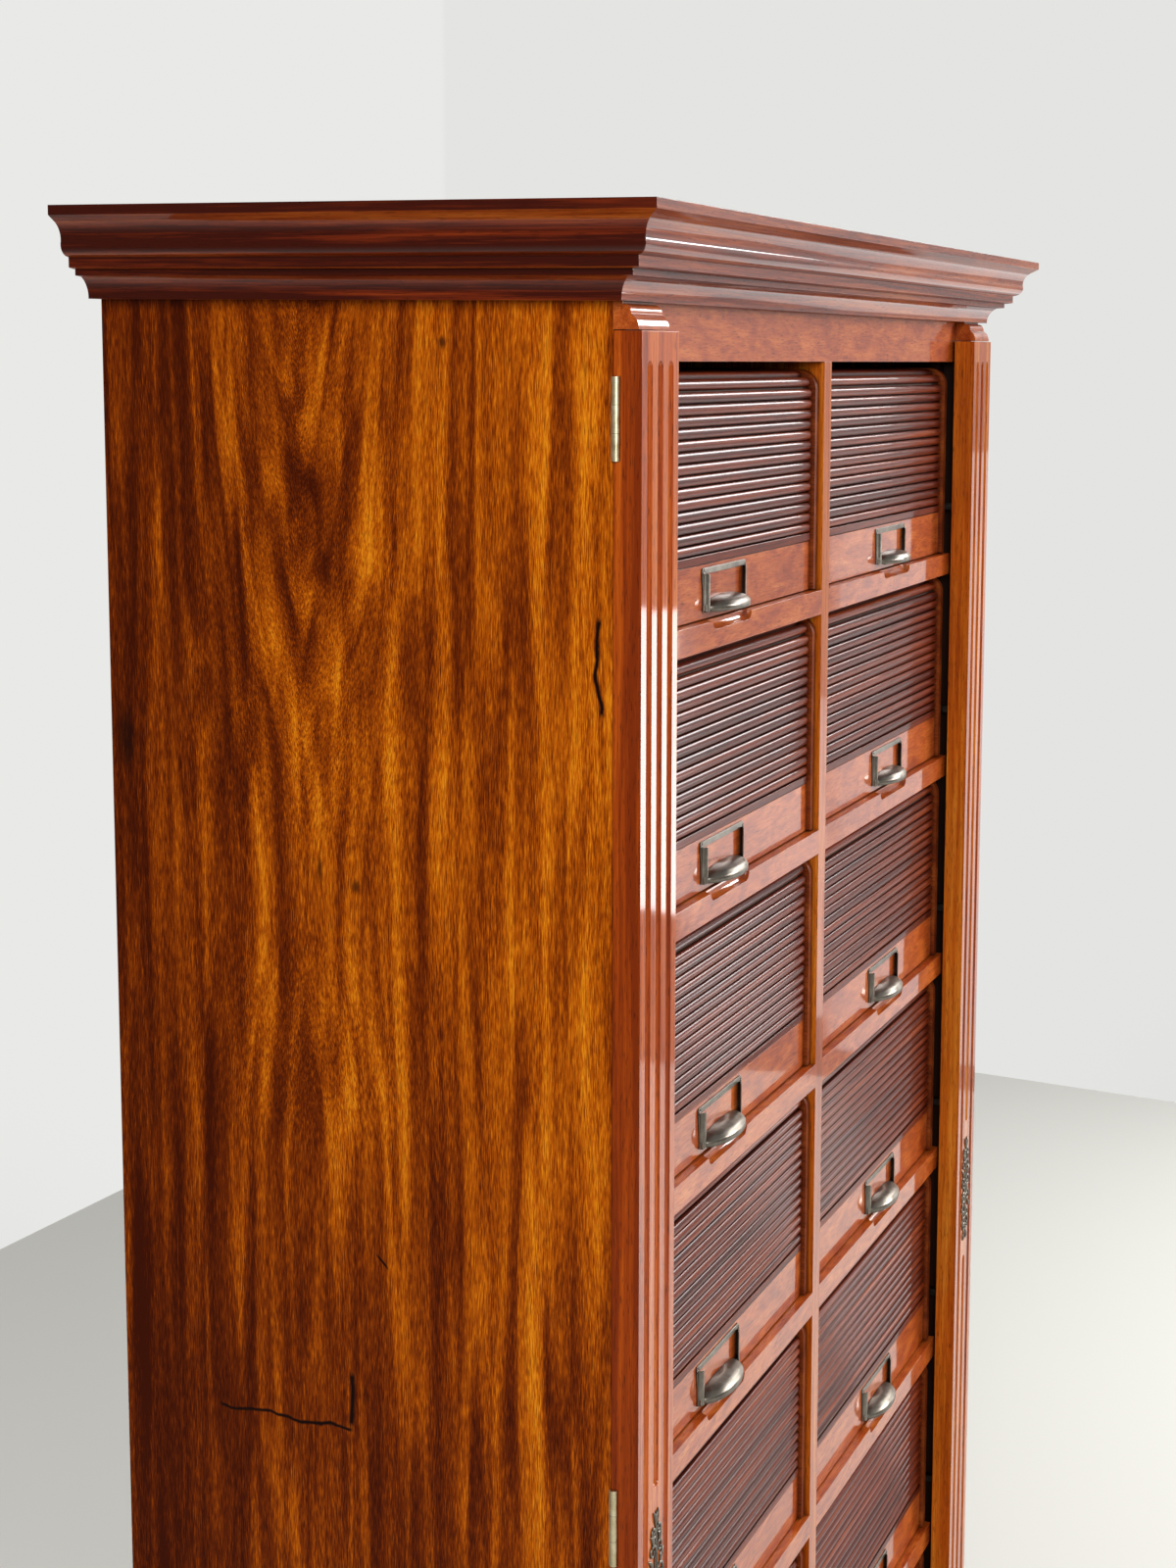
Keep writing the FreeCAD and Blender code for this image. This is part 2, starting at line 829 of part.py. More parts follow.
def make_drawer_boards():
    half = drawer_width / 2
    inside = half - drawer_side_thickness
    tongue = drawer_bottom_tongue
    bottom_z = drawer_bottom_raise
    bottom = box(
        -inside - tongue,
        inside + tongue,
        front_back - tongue,
        drawer_depth,
        bottom_z,
        bottom_z + drawer_bottom_thickness,
    )
    track_half = canvas_thickness / 2 + track_clearance
    groove = track_band(
        -inside - track_depth, track_depth, track_half, front_height, drawer_depth - track_end_distance
    )
    front = box(-inside, inside, front_setback, front_back, 0, front_height)
    middle = (front_setback + front_back) / 2
    tongue_half = front_tongue_thickness / 2
    tongues = box(
        -inside - front_tongue,
        inside + front_tongue,
        middle - tongue_half,
        middle + tongue_half,
        0,
        front_height,
    )
    front = front.fuse(tongues).removeSplitter().cut(bottom)
    side = make_drawer_side().cut(groove).cut(bottom).cut(front)
    back = box(
        -inside,
        inside,
        drawer_depth - drawer_back_thickness,
        drawer_depth,
        bottom_z + drawer_bottom_thickness,
        drawer_height - drawer_back_drop,
    )
    return front, [side, mirrored(side), bottom, back]


def pull_screw_places():
    ear_x = card_opening_width / 2 + card_channel_width + card_flange_width / 2
    ear_z = card_frame_height - card_ear_height / 2
    tab_x = pull_tab_screw_spacing / 2
    tab_z = -card_tab_height / 2
    return [(-ear_x, ear_z), (ear_x, ear_z), (-tab_x, tab_z), (tab_x, tab_z)]


def pull_screw(x, z):
    head = rod(pull_screw_head_radius, Vector(x, -card_wall, z), Vector(0, -1, 0), pull_screw_head_height)
    shank = rod(pull_screw_radius, Vector(x, -card_wall, z), Vector(0, 1, 0), pull_screw_length)
    return head.fuse(shank).removeSplitter()


def make_card_frame():
    half = card_opening_width / 2
    outer = half + card_channel_width
    ear = outer + card_flange_width
    top = card_frame_height
    wall = card_wall
    channel_wall = box(outer - wall, outer, -card_channel_proud, 0, 0, top - card_top_bar_height)
    lip_back = -card_channel_proud + wall
    channel_lip = box(half, outer, -card_channel_proud, lip_back, 0, top - card_top_bar_height)
    flange_steps = [
        (half, 0.0),
        (outer + card_flange_foot, 0.0),
        ((outer + card_flange_foot, top * 0.5), (ear, top - card_ear_height)),
        (ear, top),
        (half, top),
    ]
    flange = run_outline(lambda x, z: Vector(x, -wall, z), flange_steps).extrude(Vector(0, wall, 0))
    top_bar = box(-outer, outer, -wall, 0, top - card_top_bar_height, top)
    bottom_back = box(-outer, outer, -wall, 0, 0, card_bottom_bar_height)
    bottom_ledge = box(-outer, outer, -card_bottom_bar_proud, 0, 0, wall)
    bottom_lip = box(
        -outer, outer, -card_bottom_bar_proud, -card_bottom_bar_proud + wall, 0, card_bottom_bar_height
    )
    tab = box(-card_tab_width / 2, card_tab_width / 2, -wall, 0, -card_tab_height, 0)
    right = [channel_wall, channel_lip, flange]
    left = [mirrored(piece) for piece in right]
    frame = fused([top_bar, bottom_back, bottom_ledge, bottom_lip, tab] + right + left)
    for x, z in pull_screw_places():
        frame = frame.cut(pull_screw(x, z))
    return frame


def hood_block(shrink, z0, z1):
    ellipse = Part.Ellipse(Vector(0, 0, z0), hood_width / 2 - shrink, hood_depth - shrink)
    half_plan = Part.Face(Part.Wire(ellipse.toShape())).extrude(Vector(0, 0, z1 - z0))
    return half_plan.common(box(-hood_width, hood_width, -hood_depth, -card_bottom_bar_proud, z0, z1))


def make_hood():
    block = hood_block(0, 0, hood_height)
    rim = [
        edge
        for edge in block.Edges
        if not isinstance(edge.Curve, Part.Line) and edge.BoundBox.ZMin > hood_height / 2
    ]
    rounded = block.makeFillet(hood_edge_radius, rim)
    inside = hood_block(hood_wall, -cutter_overrun, hood_height - hood_wall)
    return rounded.cut(inside)


def make_pull(centre, front_board):
    frame = moved(make_card_frame(), centre, front_setback, pull_raise)
    hood = moved(make_hood(), centre, front_setback, pull_raise)
    screws = [moved(pull_screw(x, z), centre, front_setback, pull_raise) for x, z in pull_screw_places()]
    board = front_board.cut(Part.Compound(screws))
    return [board, frame, hood] + screws


def track_place(distance):
    # The point on the canvas line at a distance along it, and the turn of a slat there.
    straight = track_top - track_radius - tambour_foot - bar_height
    bend = track_radius * math.pi / 2
    centre_y = canvas_line + track_radius
    centre_z = track_top - track_radius
    if distance < straight:
        return canvas_line, tambour_foot + bar_height + distance, 0.0
    if distance < straight + bend:
        turn = (distance - straight) / track_radius
        y = centre_y - track_radius * math.cos(turn)
        z = centre_z + track_radius * math.sin(turn)
        return y, z, turn
    return centre_y + distance - straight - bend, track_top, math.pi / 2


def make_slat(length):
    half = (slat_pitch - slat_joint) / 2
    back = -canvas_thickness / 2
    edge = back - slat_edge_thickness
    crown = back - slat_thickness
    steps = [
        (back, -half),
        (edge, -half),
        ((crown, 0.0), (edge, half)),
        (back, half),
    ]
    face = run_outline(lambda y, z: Vector(-length / 2, y, z), steps)
    return face.extrude(Vector(length, 0, 0))


def make_tambour():
    inside = drawer_width / 2 - drawer_side_thickness
    slat_length = 2 * (inside - slat_end_gap)
    slat = make_slat(slat_length)
    pieces = []
    for index in range(slat_count):
        y, z, turn = track_place((index + 0.5) * slat_pitch)
        piece = slat.copy()
        piece.rotate(Vector(0, 0, 0), Vector(1, 0, 0), -math.degrees(turn))
        piece.translate(Vector(0, y, z))
        pieces.append(piece)
    bar = box(
        -slat_length / 2,
        slat_length / 2,
        slat_face_recess,
        slat_back,
        tambour_foot,
        tambour_foot + bar_height,
    )
    rear = track_place(slat_count * slat_pitch)[0]
    canvas_width = 2 * (inside + canvas_tongue)
    canvas = track_band(-canvas_width / 2, canvas_width, canvas_thickness / 2, tambour_foot, rear)
    return pieces + [bar, canvas]


def make_drawers():
    front_board, boards = make_drawer_boards()
    tambour = make_tambour()
    pull_left = drawer_centre - inner_edge - pull_from_partition_left
    pull_right = inner_edge + pull_from_partition_right - drawer_centre
    columns = {
        "left": (-drawer_centre, make_pull(pull_left, front_board)),
        "right": (drawer_centre, make_pull(pull_right, front_board)),
    }
    for column, (centre, pull) in columns.items():
        drawer = Part.Compound(pull + boards)
        curtain = Part.Compound(tambour)
        for row in range(1, row_count + 1):
            base = rail_top(row) + drawer_lift
            save("drawer_%s_%d" % (column, row), [moved(drawer, centre, drawer_front, base)])
            save("tambour_%s_%d" % (column, row), [moved(curtain, centre, drawer_front, base)])


def main():
    os.makedirs("parts", exist_ok=True)

    side_panel = make_side_panel()
    side_panels = Part.Compound([side_panel, mirrored(side_panel)])
    save("side_panel_left", [side_panel])
    save("side_panel_right", [mirrored(side_panel)])
    save("back_panel", [make_back_panel()])
    save("top_board", [make_top_board()])
    bottom_board = make_bottom_board()
    frieze = make_frieze()
    save("bottom_board", [bottom_board])
    save("frieze_rail", [frieze])
    save("centre_partition", [make_partition(bottom_board, frieze)])
    rails = make_rails()
    save("drawer_rails", rails)
    stile = make_stile(rails)
    save("guide_stiles", [stile, mirrored(stile)])
    save("drawer_runners_and_stops", make_runners_and_stops())

    save("plinth", make_plinth())
    save("cornice_crown", make_cornice(crown_steps(), side_panels))
    save("cornice_bed", make_cornice(bed_steps(), side_panels))
    capital = make_capital(side_panels)
    save("capitals", [capital, mirrored(capital)])

    carcass_leaves, pins, carcass_screws, pilaster_leaves = make_left_hinges()
    save("carcass_hinge_leaves", carcass_leaves + [mirrored(leaf) for leaf in carcass_leaves])
    save("hinge_pins", pins + [mirrored(pin) for pin in pins])
    save("carcass_hinge_screws", carcass_screws + [mirrored(screw) for screw in carcass_screws])
    staple = make_staple()
    save("lock_staples", [staple, mirrored(staple)])
    left_pieces = {
        "pilaster": [make_pilaster()],
        "pilaster_hinge_leaves": pilaster_leaves,
        "lock_case_and_lugs": make_lock_parts(),
        "lock_bolt": [make_bolt(0)],
        "escutcheon": [make_escutcheon()],
    }
    for name, pieces in left_pieces.items():
        save(name + "_left", pieces)
        save(name + "_right", [mirrored(piece) for piece in pieces])

    make_drawers()
    print("height", round(cabinet_top, 1), "drawer width", round(drawer_width, 1))


main()
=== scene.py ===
import math

import bmesh
import bpy
from mathutils import Matrix, Vector


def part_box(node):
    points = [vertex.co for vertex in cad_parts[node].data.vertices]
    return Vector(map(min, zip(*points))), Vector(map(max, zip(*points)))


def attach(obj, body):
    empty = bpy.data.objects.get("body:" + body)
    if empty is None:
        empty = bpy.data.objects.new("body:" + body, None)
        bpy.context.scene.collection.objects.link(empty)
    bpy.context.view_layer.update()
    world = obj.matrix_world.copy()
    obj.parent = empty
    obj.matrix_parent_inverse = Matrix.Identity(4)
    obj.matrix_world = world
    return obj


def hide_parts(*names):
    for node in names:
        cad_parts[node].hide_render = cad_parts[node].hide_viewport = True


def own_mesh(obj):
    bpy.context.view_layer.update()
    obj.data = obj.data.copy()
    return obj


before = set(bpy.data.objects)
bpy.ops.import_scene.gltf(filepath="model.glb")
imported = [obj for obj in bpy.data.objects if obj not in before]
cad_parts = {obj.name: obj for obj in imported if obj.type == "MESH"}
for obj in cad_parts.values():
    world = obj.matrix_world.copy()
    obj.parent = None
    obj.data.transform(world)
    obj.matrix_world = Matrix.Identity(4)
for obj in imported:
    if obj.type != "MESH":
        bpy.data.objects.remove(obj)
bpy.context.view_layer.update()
mm = 0.001
print("frame loaded:", len(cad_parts), "nodes")


# Shared helpers

def hexToLinear(code):
    channels = [int(code[i:i + 2], 16) / 255 for i in (1, 3, 5)]
    linear = [c / 12.92 if c <= 0.04045 else ((c + 0.055) / 1.055) ** 2.4 for c in channels]
    return (*linear, 1.0)


def addNode(tree, kind, inputs=None, **settings):
    # An input that is another node's socket is linked, anything else is its value.
    node = tree.nodes.new("ShaderNode" + kind)
    for key, value in settings.items():
        setattr(node, key, value)
    for key, value in (inputs or {}).items():
        if isinstance(value, bpy.types.NodeSocket):
            tree.links.new(value, node.inputs[key])
        else:
            node.inputs[key].default_value = value
    return node


def newMaterial(name):
    material = bpy.data.materials.new(name)
    material.use_nodes = True
    tree = material.node_tree
    tree.nodes.clear()
    shader = addNode(tree, "BsdfPrincipled")
    addNode(tree, "OutputMaterial", {"Surface": shader.outputs["BSDF"]})
    return material, tree, shader


def rampColours(ramp, stops):
    # Each stop is a place from 0 to 1 and a colour.
    elements = ramp.color_ramp.elements
    while len(elements) > 1:
        elements.remove(elements[-1])
    for index, (place, code) in enumerate(stops):
        element = elements[0] if index == 0 else elements.new(place)
        element.position = place
        element.color = hexToLinear(code)


def pieceFromMesh(name, mesh, body, materials, location=(0, 0, 0)):
    if not mesh.materials:
        for material in materials:
            mesh.materials.append(material)
    piece = bpy.data.objects.new(name, mesh)
    bpy.context.collection.objects.link(piece)
    piece.location = location
    bpy.context.view_layer.update()
    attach(piece, body)
    return piece


def meshFromBuild(name, build, smoothAngle=35):
    bm = bmesh.new()
    build(bm)
    bmesh.ops.recalc_face_normals(bm, faces=bm.faces)
    mesh = bpy.data.meshes.new(name)
    bm.to_mesh(mesh)
    bm.free()
    for polygon in mesh.polygons:
        polygon.use_smooth = True
    mesh.set_sharp_from_angle(angle=math.radians(smoothAngle))
    return mesh


def addBevel(piece, width, segments=2):
    bevel = piece.modifiers.new("softEdges", "BEVEL")
    bevel.width = width * mm
    bevel.segments = segments
    bevel.limit_method = "ANGLE"
    bevel.angle_limit = math.radians(40)
    bevel.harden_normals = True


def addPoints(bm, points):
    return [bm.verts.new((x * mm, y * mm, z * mm)) for x, y, z in points]


def addBox(bm, x0, x1, y0, y1, z0, z1, slot=0):
    corners = addPoints(bm, [(x, y, z) for x in (x0, x1) for y in (y0, y1) for z in (z0, z1)])
    for a, b, c, d in ((0, 1, 3, 2), (4, 6, 7, 5), (0, 4, 5, 1), (2, 3, 7, 6), (0, 2, 6, 4), (1, 5, 7, 3)):
        bm.faces.new((corners[a], corners[b], corners[c], corners[d])).material_index = slot


def joinRings(bm, rings, closed=True):
    faces = []
    for first, second in zip(rings, rings[1:]):
        for i in range(len(first) if closed else len(first) - 1):
            j = (i + 1) % len(first)
            faces.append(bm.faces.new((first[i], first[j], second[j], second[i])))
    return faces


def addSolid(bm, firstRing, secondRing, slot=0):
    # The solid between two rings of points in mm.
    rings = [addPoints(bm, firstRing), addPoints(bm, secondRing)]
    ends = [bm.faces.new(rings[0]), bm.faces.new(list(reversed(rings[1])))]
    for face in ends + joinRings(bm, rings):
        face.material_index = slot


def addPrism(bm, outline, x0, x1, slot=0):
    # Outline is a list of (y, z), drawn out along X.
    addSolid(bm, [(x0, y, z) for y, z in outline], [(x1, y, z) for y, z in outline], slot)


def arcPoints(centreY, centreZ, radius, startDegrees, endDegrees, steps):
    points = []
    for i in range(steps + 1):
        angle = math.radians(startDegrees + (endDegrees - startDegrees) * i / steps)
        points.append((centreY + radius * math.cos(angle), centreZ + radius * math.sin(angle)))
    return points


# French-polished mahogany. The eye sees ribbon stripes along the grain, short dark pores and a
# thin clear polish whose reflections are sharp but slightly wavy.

baseLook = {
    "grainAxis": 0,
    "ribbonMm": 26.0,           # width of one stripe of figure
    "ribbonLengthMm": 420.0,
    "ribbonWander": 0.7,
    "ribbonShare": 0.6,
    "grainMm": 1.5,             # width of one growth line, drawn a little coarse so that it shows
    "grainLengthMm": 60.0,
    "contrast": 1.0,
    "toneSpread": 0.20,         # half the range of noise that runs through all the colours
    "sideShade": 0.0,            # painted shade: how much darker the faces toward the cabinet's sides are
    "sideShadeFrom": (0.6, 0.95),  # part of the normal that points sideways, from front to full side
    "poreMm": 0.8,              # real pores are 0.2 mm wide, drawn coarser
    "poreLengthMm": 10.0,
    "poreStart": 0.60,
    "poreEdge": 0.08,
    "poreStrength": 0.5,
    "poreColour": "#2a0a02",
    "grainBump": 0.2,
    "grainDepthMm": 0.08,
    "edgeMm": 0.6,              # radius of the worn edges
    "waveMm": 45.0,             # hand polishing leaves the surface slightly wavy
    "waveDepthMm": 0.10,
    "grimeAndShadeMm": 5.0,             # old polish, dust and painted shade darken the corners this far out
    "grimeAndShadeFrom": (0.75, 0.15),  # openness of a corner, from clean to darkest
    "grimeAndShadeStrength": 0.6,
    "grimeAndShadeColour": "#140402",
    "roughness": 0.45,
    "specular": 0.06,
    "polish": 1.0,              # the fronts keep their full polish
    "sidePolish": 0.12,         # faces toward the sides, up and down have dulled
    "dullFrom": (0.75, 0.97),   # part of the normal that points there, from polished to dull
    "polishRoughness": 0.05,
    "pieceShiftM": (3.1, 5.3, 7.7),  # each drawer is cut from another place of the wood
    "tones": (0.0, 0.35, 0.6, 1.0),  # where the colours lie, from the darkest wood to the palest
    "colours": ("#74270a", "#943c12", "#ae531c", "#ca7436"),
}
# The figure of the woods at the front: short and soft.
mottled = {
    "ribbonMm": 16.0,
    "ribbonLengthMm": 50.0,
    "ribbonWander": 1.4,
    "grainLengthMm": 16.0,
    "contrast": 0.7,
}
unpolished = {
    "polish": 0.1,
    "sidePolish": 0.1,
    "polishRoughness": 0.4,
    "roughness": 0.65,
}
woodLooks = {
    # Broad veneer with only a thin worn polish: deep orange, strongly figured, hardly mirroring.
    "sideVeneer": {
        "grainAxis": 2,
        "ribbonMm": 26.0,
        "ribbonLengthMm": 260.0,
        "ribbonWander": 0.6,
        "ribbonShare": 0.52,
        "grainMm": 1.1,
        "grainLengthMm": 9.0,
        "contrast": 1.2,
        "poreMm": 0.9,
        "poreLengthMm": 12.0,
        "poreStart": 0.56,
        "poreStrength": 0.55,
        "poreColour": "#3a1100",
        "tones": (0.0, 0.3, 0.5, 0.7, 1.0),
        "colours": ("#3c0e00", "#672400", "#8f3d01", "#b95a04", "#e28c16"),
        "specular": 0.03,
        "polish": 0.12,
        "sidePolish": 0.06,
        "polishRoughness": 0.12,
        "panelFigure": True,
    },
    # Rails, frieze and capitals under full polish: even and mottled, and they mirror the room.
    "frontMahogany": mottled,
    # The same polish on upright grain, a little more golden.
    "uprightMahogany": {
        "grainAxis": 2,
        "ribbonMm": 12.0,
        "colours": ("#7a2c04", "#9a4208", "#b35a10", "#d08228"),
    },
    # The left pilaster's fluted board, with painted shade on its outer side.
    "pilasterMahogany": {
        "grainAxis": 2,
        "ribbonMm": 12.0,
        "colours": ("#762802", "#983c05", "#b4520c", "#cc7220"),
        "sideShade": 0.3,
    },
    # Mouldings in darker wood, with grain that turns the corner, painted shade on their sides, and dust with painted
    # shade in the hollows.
    "mouldingMahogany": {
        "colours": ("#3a0d03", "#6a2207", "#8e3c10", "#b05c20"),
        "ribbonMm": 14.0,
        "sideShade": 0.55,
        "mitred": True,
        "grimeAndShadeMm": 8.0,
        "grimeAndShadeStrength": 0.8,
    },
    # Drawer fronts, as the rails, but each from its own board.
    "drawerMahogany": {
        **mottled,
        "perPiece": True,
        "grimeAndShadeMm": 4.0,
        "grimeAndShadeStrength": 0.9,
    },
    # Drawer sides, backs and bottoms: planed and barely polished, so brown and soft, and darkened as painted shade
    # where they show beside the fronts.
    "drawerSideMahogany": {
        "perPiece": True,
        "grainAxis": 1,
        "polish": 0.3,
        "polishRoughness": 0.25,
        "grimeAndShadeStrength": 0.8,
        "colours": ("#451707", "#62260b", "#783410", "#92491c"),
    },
    # Dark rounded slats: a thin bright line along the top of each, black between them, where painted shade deepens the
    # gaps.
    "slatMahogany": {
        "perPiece": True,
        "ribbonMm": 7.9,
        "ribbonLengthMm": 900.0,
        "grimeAndShadeMm": 4.0,
        "grimeAndShadeStrength": 1.0,
        "colours": ("#2e0902", "#4b1405", "#652209", "#883a13"),
        "waveDepthMm": 0.03,
        "polish": 0.42,
        "polishRoughness": 0.06,
    },
    # Boards that don't show when it is closed, left from the plane: matt and pale brown.
    "innerMahogany": {
        **unpolished,
        "grainAxis": 1,
        "colours": ("#4b2413", "#6b3a21", "#7d482b", "#8e5634"),
    },
    # Stiles behind the pilasters, nearly black as painted shadow, so that the gap reads as a shadow.
    "paintedShadowMahogany": {
        **unpolished,
        "grainAxis": 2,
        "colours": ("#0e0402", "#170904", "#1e0d06", "#2a140b"),
    },
    # Plain pine back boards without any finish: dull, with broad faint grain.
    "backPine": {
        "grainAxis": 2,
        "polish": 0.0,
        "sidePolish": 0.0,
        "roughness": 0.7,
        "ribbonMm": 34.0,
        "poreStrength": 0.2,
        "colours": ("#5e371c", "#7c4c2a", "#8e5b35", "#9f6b42"),
    },
}
# What is particular to the side panels, in mm of the cabinet: Y from front to back, Z up.
panelFigure = {
    "flameY": 60.0,
    "flameFootZ": 1400.0,
    "flameWidth": 75.0,
    "flameSlope": 0.42,
    "flameTip": 6.0,            # radius of the bend at the flame's axis
    "flameFade": 330.0,         # length over which the flame dies out below its foot
    "armSkew": 1.5,             # keeps the flame's two arms from mirroring each other
    "coreHalfWidth": 36.0,
    "coreSlope": 0.6,
    # Each zone: where it starts, where it is full, how much darker it is there.
    "core": (-14.0, 14.0, 0.12),
    # Painted shade darkens the back edge and the foot, and painted light lifts the front stripe.
    "paintedBackShade": (40.0, 206.0, 0.3),
    "paintedFrontLight": (-60.0, -150.0, -0.10),
    "foot": (1250.0, 800.0, 0.14),
    # Each knot: middle Y, middle Z, half its width, half its length.
    "knots": [
        (-41.8, 1615.6, 3.0, 4.0),
        (23.5, 1265.6, 3.2, 5.0),
        (196.0, 1352.0, 7.0, 22.0),
        (50.0, 1275.0, 2.0, 9.0),
    ],
    "knotEdge": (1.4, 0.3),     # from clear wood to full knot, as shares of its half size
    "knotStrength": 0.75,
    # Each mark: middle Y, middle Z, angle from the level, length, width, waviness.
    "marks": [
        (82.0, 895.5, 0.0, 106.0, 2.0, 5.0),
        (30.6, 916.0, 92.0, 40.0, 2.8, 1.5),
        (7.0, 1015.4, 45.0, 15.0, 1.3, 0.5),
        (-148.6, 1418.0, 90.0, 64.0, 2.6, 6.0),
    ],
    "markWaveMm": 26.0,
    "markEdge": (0.9, 0.3),     # from clear wood to full mark, as shares of its width
    "markTaper": 4.0,
    "markColour": "#150603",
}


def flameFlow(tree, coords):
    # Bends straight grain into the downward flame of the side panels' figure, and says how
    # much darker each place is: the flame's dark core, painted shade at the back edge and foot, painted light at the
    # front.
    flame = panelFigure
    place = addNode(tree, "SeparateXYZ", {0: coords}).outputs
    across = addNode(tree, "Math", {0: place["Y"], 1: flame["flameY"] * mm}, operation="SUBTRACT").outputs[0]
    square = addNode(tree, "Math", {0: across, 1: across}, operation="MULTIPLY").outputs[0]
    side = addNode(tree, "Math", {0: square, 1: (flame["flameTip"] * mm) ** 2}, operation="ADD").outputs[0]
    side = addNode(tree, "Math", {0: side}, operation="SQRT").outputs[0]
    near = addNode(tree, "Math", {0: square, 1: -1 / (flame["flameWidth"] * mm) ** 2}, operation="MULTIPLY").outputs[0]
    near = addNode(tree, "Math", {0: near}, operation="EXPONENT").outputs[0]
    rise = addNode(tree, "Math", {0: place["Z"], 1: flame["flameFootZ"] * mm}, operation="SUBTRACT").outputs[0]
    fadeEnds = {"From Min": (flame["flameFootZ"] - flame["flameFade"]) * mm, "From Max": flame["flameFootZ"] * mm}
    fade = addNode(tree, "MapRange", {"Value": place["Z"], **fadeEnds}, interpolation_type="SMOOTHSTEP")
    lean = addNode(tree, "Math", {0: rise, 1: flame["flameSlope"]}, operation="MULTIPLY").outputs[0]
    for factor in (near, fade.outputs["Result"]):
        lean = addNode(tree, "Math", {0: lean, 1: factor}, operation="MULTIPLY").outputs[0]
    bent = addNode(tree, "Math", {0: side, 1: lean}, operation="SUBTRACT").outputs[0]
    depth = addNode(tree, "Math", {0: across, 1: flame["armSkew"], 2: place["X"]}, operation="MULTIPLY_ADD").outputs[0]
    flow = addNode(tree, "CombineXYZ", {0: depth, 1: bent, 2: place["Z"]}).outputs[0]
    # The dark core is the wedge between the flame's two arms.
    width = addNode(tree, "Math", {0: rise, 1: flame["coreSlope"]}, operation="MULTIPLY").outputs[0]
    width = addNode(tree, "Math", {0: width, 1: flame["coreHalfWidth"] * mm}, operation="MINIMUM").outputs[0]
    inside = addNode(tree, "Math", {0: width, 1: side}, operation="SUBTRACT").outputs[0]
    shade = 0.0
    for zone, along in (
        ("core", inside), ("paintedBackShade", place["Y"]), ("paintedFrontLight", place["Y"]), ("foot", place["Z"])
    ):
        start, full, darkness = flame[zone]
        ends = {"From Min": start * mm, "From Max": full * mm}
        amount = addNode(tree, "MapRange", {"Value": along, **ends}, interpolation_type="SMOOTHSTEP").outputs["Result"]
        shade = addNode(tree, "Math", {0: amount, 1: darkness, 2: shade}, operation="MULTIPLY_ADD").outputs[0]
    return flow, shade


def knotsAndMarks(tree, coords):
    # Small knots, and on the left panel alone the old scratches; 1 where one is.
    figure = panelFigure
    place = addNode(tree, "SeparateXYZ", {0: coords}).outputs
    clear, full = figure["knotEdge"]
    ends = {"From Min": clear, "From Max": full, "To Max": figure["knotStrength"]}
    total = 0.0
    for y, z, halfWidth, halfLength in figure["knots"]:
        scale = (0.0, 1 / (halfWidth * mm), 1 / (halfLength * mm))
        scaled = addNode(tree, "VectorMath", {0: coords, 1: scale}, operation="MULTIPLY").outputs[0]
        centre = (0.0, y / halfWidth, z / halfLength)
        gap = addNode(tree, "VectorMath", {0: scaled, 1: centre}, operation="DISTANCE").outputs["Value"]
        knot = addNode(tree, "MapRange", {"Value": gap, **ends}, interpolation_type="SMOOTHSTEP").outputs["Result"]
        total = addNode(tree, "Math", {0: total, 1: knot}, operation="MAXIMUM").outputs[0]
    onLeft = addNode(tree, "Math", {0: place["X"], 1: 0.0}, operation="LESS_THAN").outputs[0]
    wobble = addNode(tree, "TexNoise", {"Vector": coords, "Scale": 1000 / figure["markWaveMm"], "Detail": 3.0})
    sway = addNode(tree, "Math", {0: wobble.outputs["Fac"], 1: 0.5}, operation="SUBTRACT").outputs[0]
    clear, full = figure["markEdge"]
    for y, z, angle, length, width, waviness in figure["marks"]:
        lie = {"Location": (0.0, y * mm, z * mm), "Rotation": (math.radians(angle), 0.0, 0.0)}
        turned = addNode(tree, "Mapping", {"Vector": coords, **lie}, vector_type="TEXTURE").outputs[0]
        own = addNode(tree, "SeparateXYZ", {0: turned}).outputs
        line = addNode(
            tree, "Math", {0: sway, 1: -waviness * 2 * mm, 2: own["Z"]}, operation="MULTIPLY_ADD"
        ).outputs[0]
        line = addNode(tree, "Math", {0: line}, operation="ABSOLUTE").outputs[0]
        along = addNode(tree, "Math", {0: own["Y"]}, operation="ABSOLUTE").outputs[0]
        tip = length / 2
        strokeEnds = {"From Min": width * clear * mm, "From Max": width * full * mm}
        tipEnds = {"From Min": tip * mm, "From Max": (tip - figure["markTaper"]) * mm}
        stroke = addNode(tree, "MapRange", {"Value": line, **strokeEnds}).outputs["Result"]
        reach = addNode(tree, "MapRange", {"Value": along, **tipEnds}).outputs["Result"]
        mark = addNode(tree, "Math", {0: stroke, 1: reach}, operation="MULTIPLY").outputs[0]
        mark = addNode(tree, "Math", {0: mark, 1: onLeft}, operation="MULTIPLY").outputs[0]
        total = addNode(tree, "Math", {0: total, 1: mark}, operation="MAXIMUM").outputs[0]
    return total


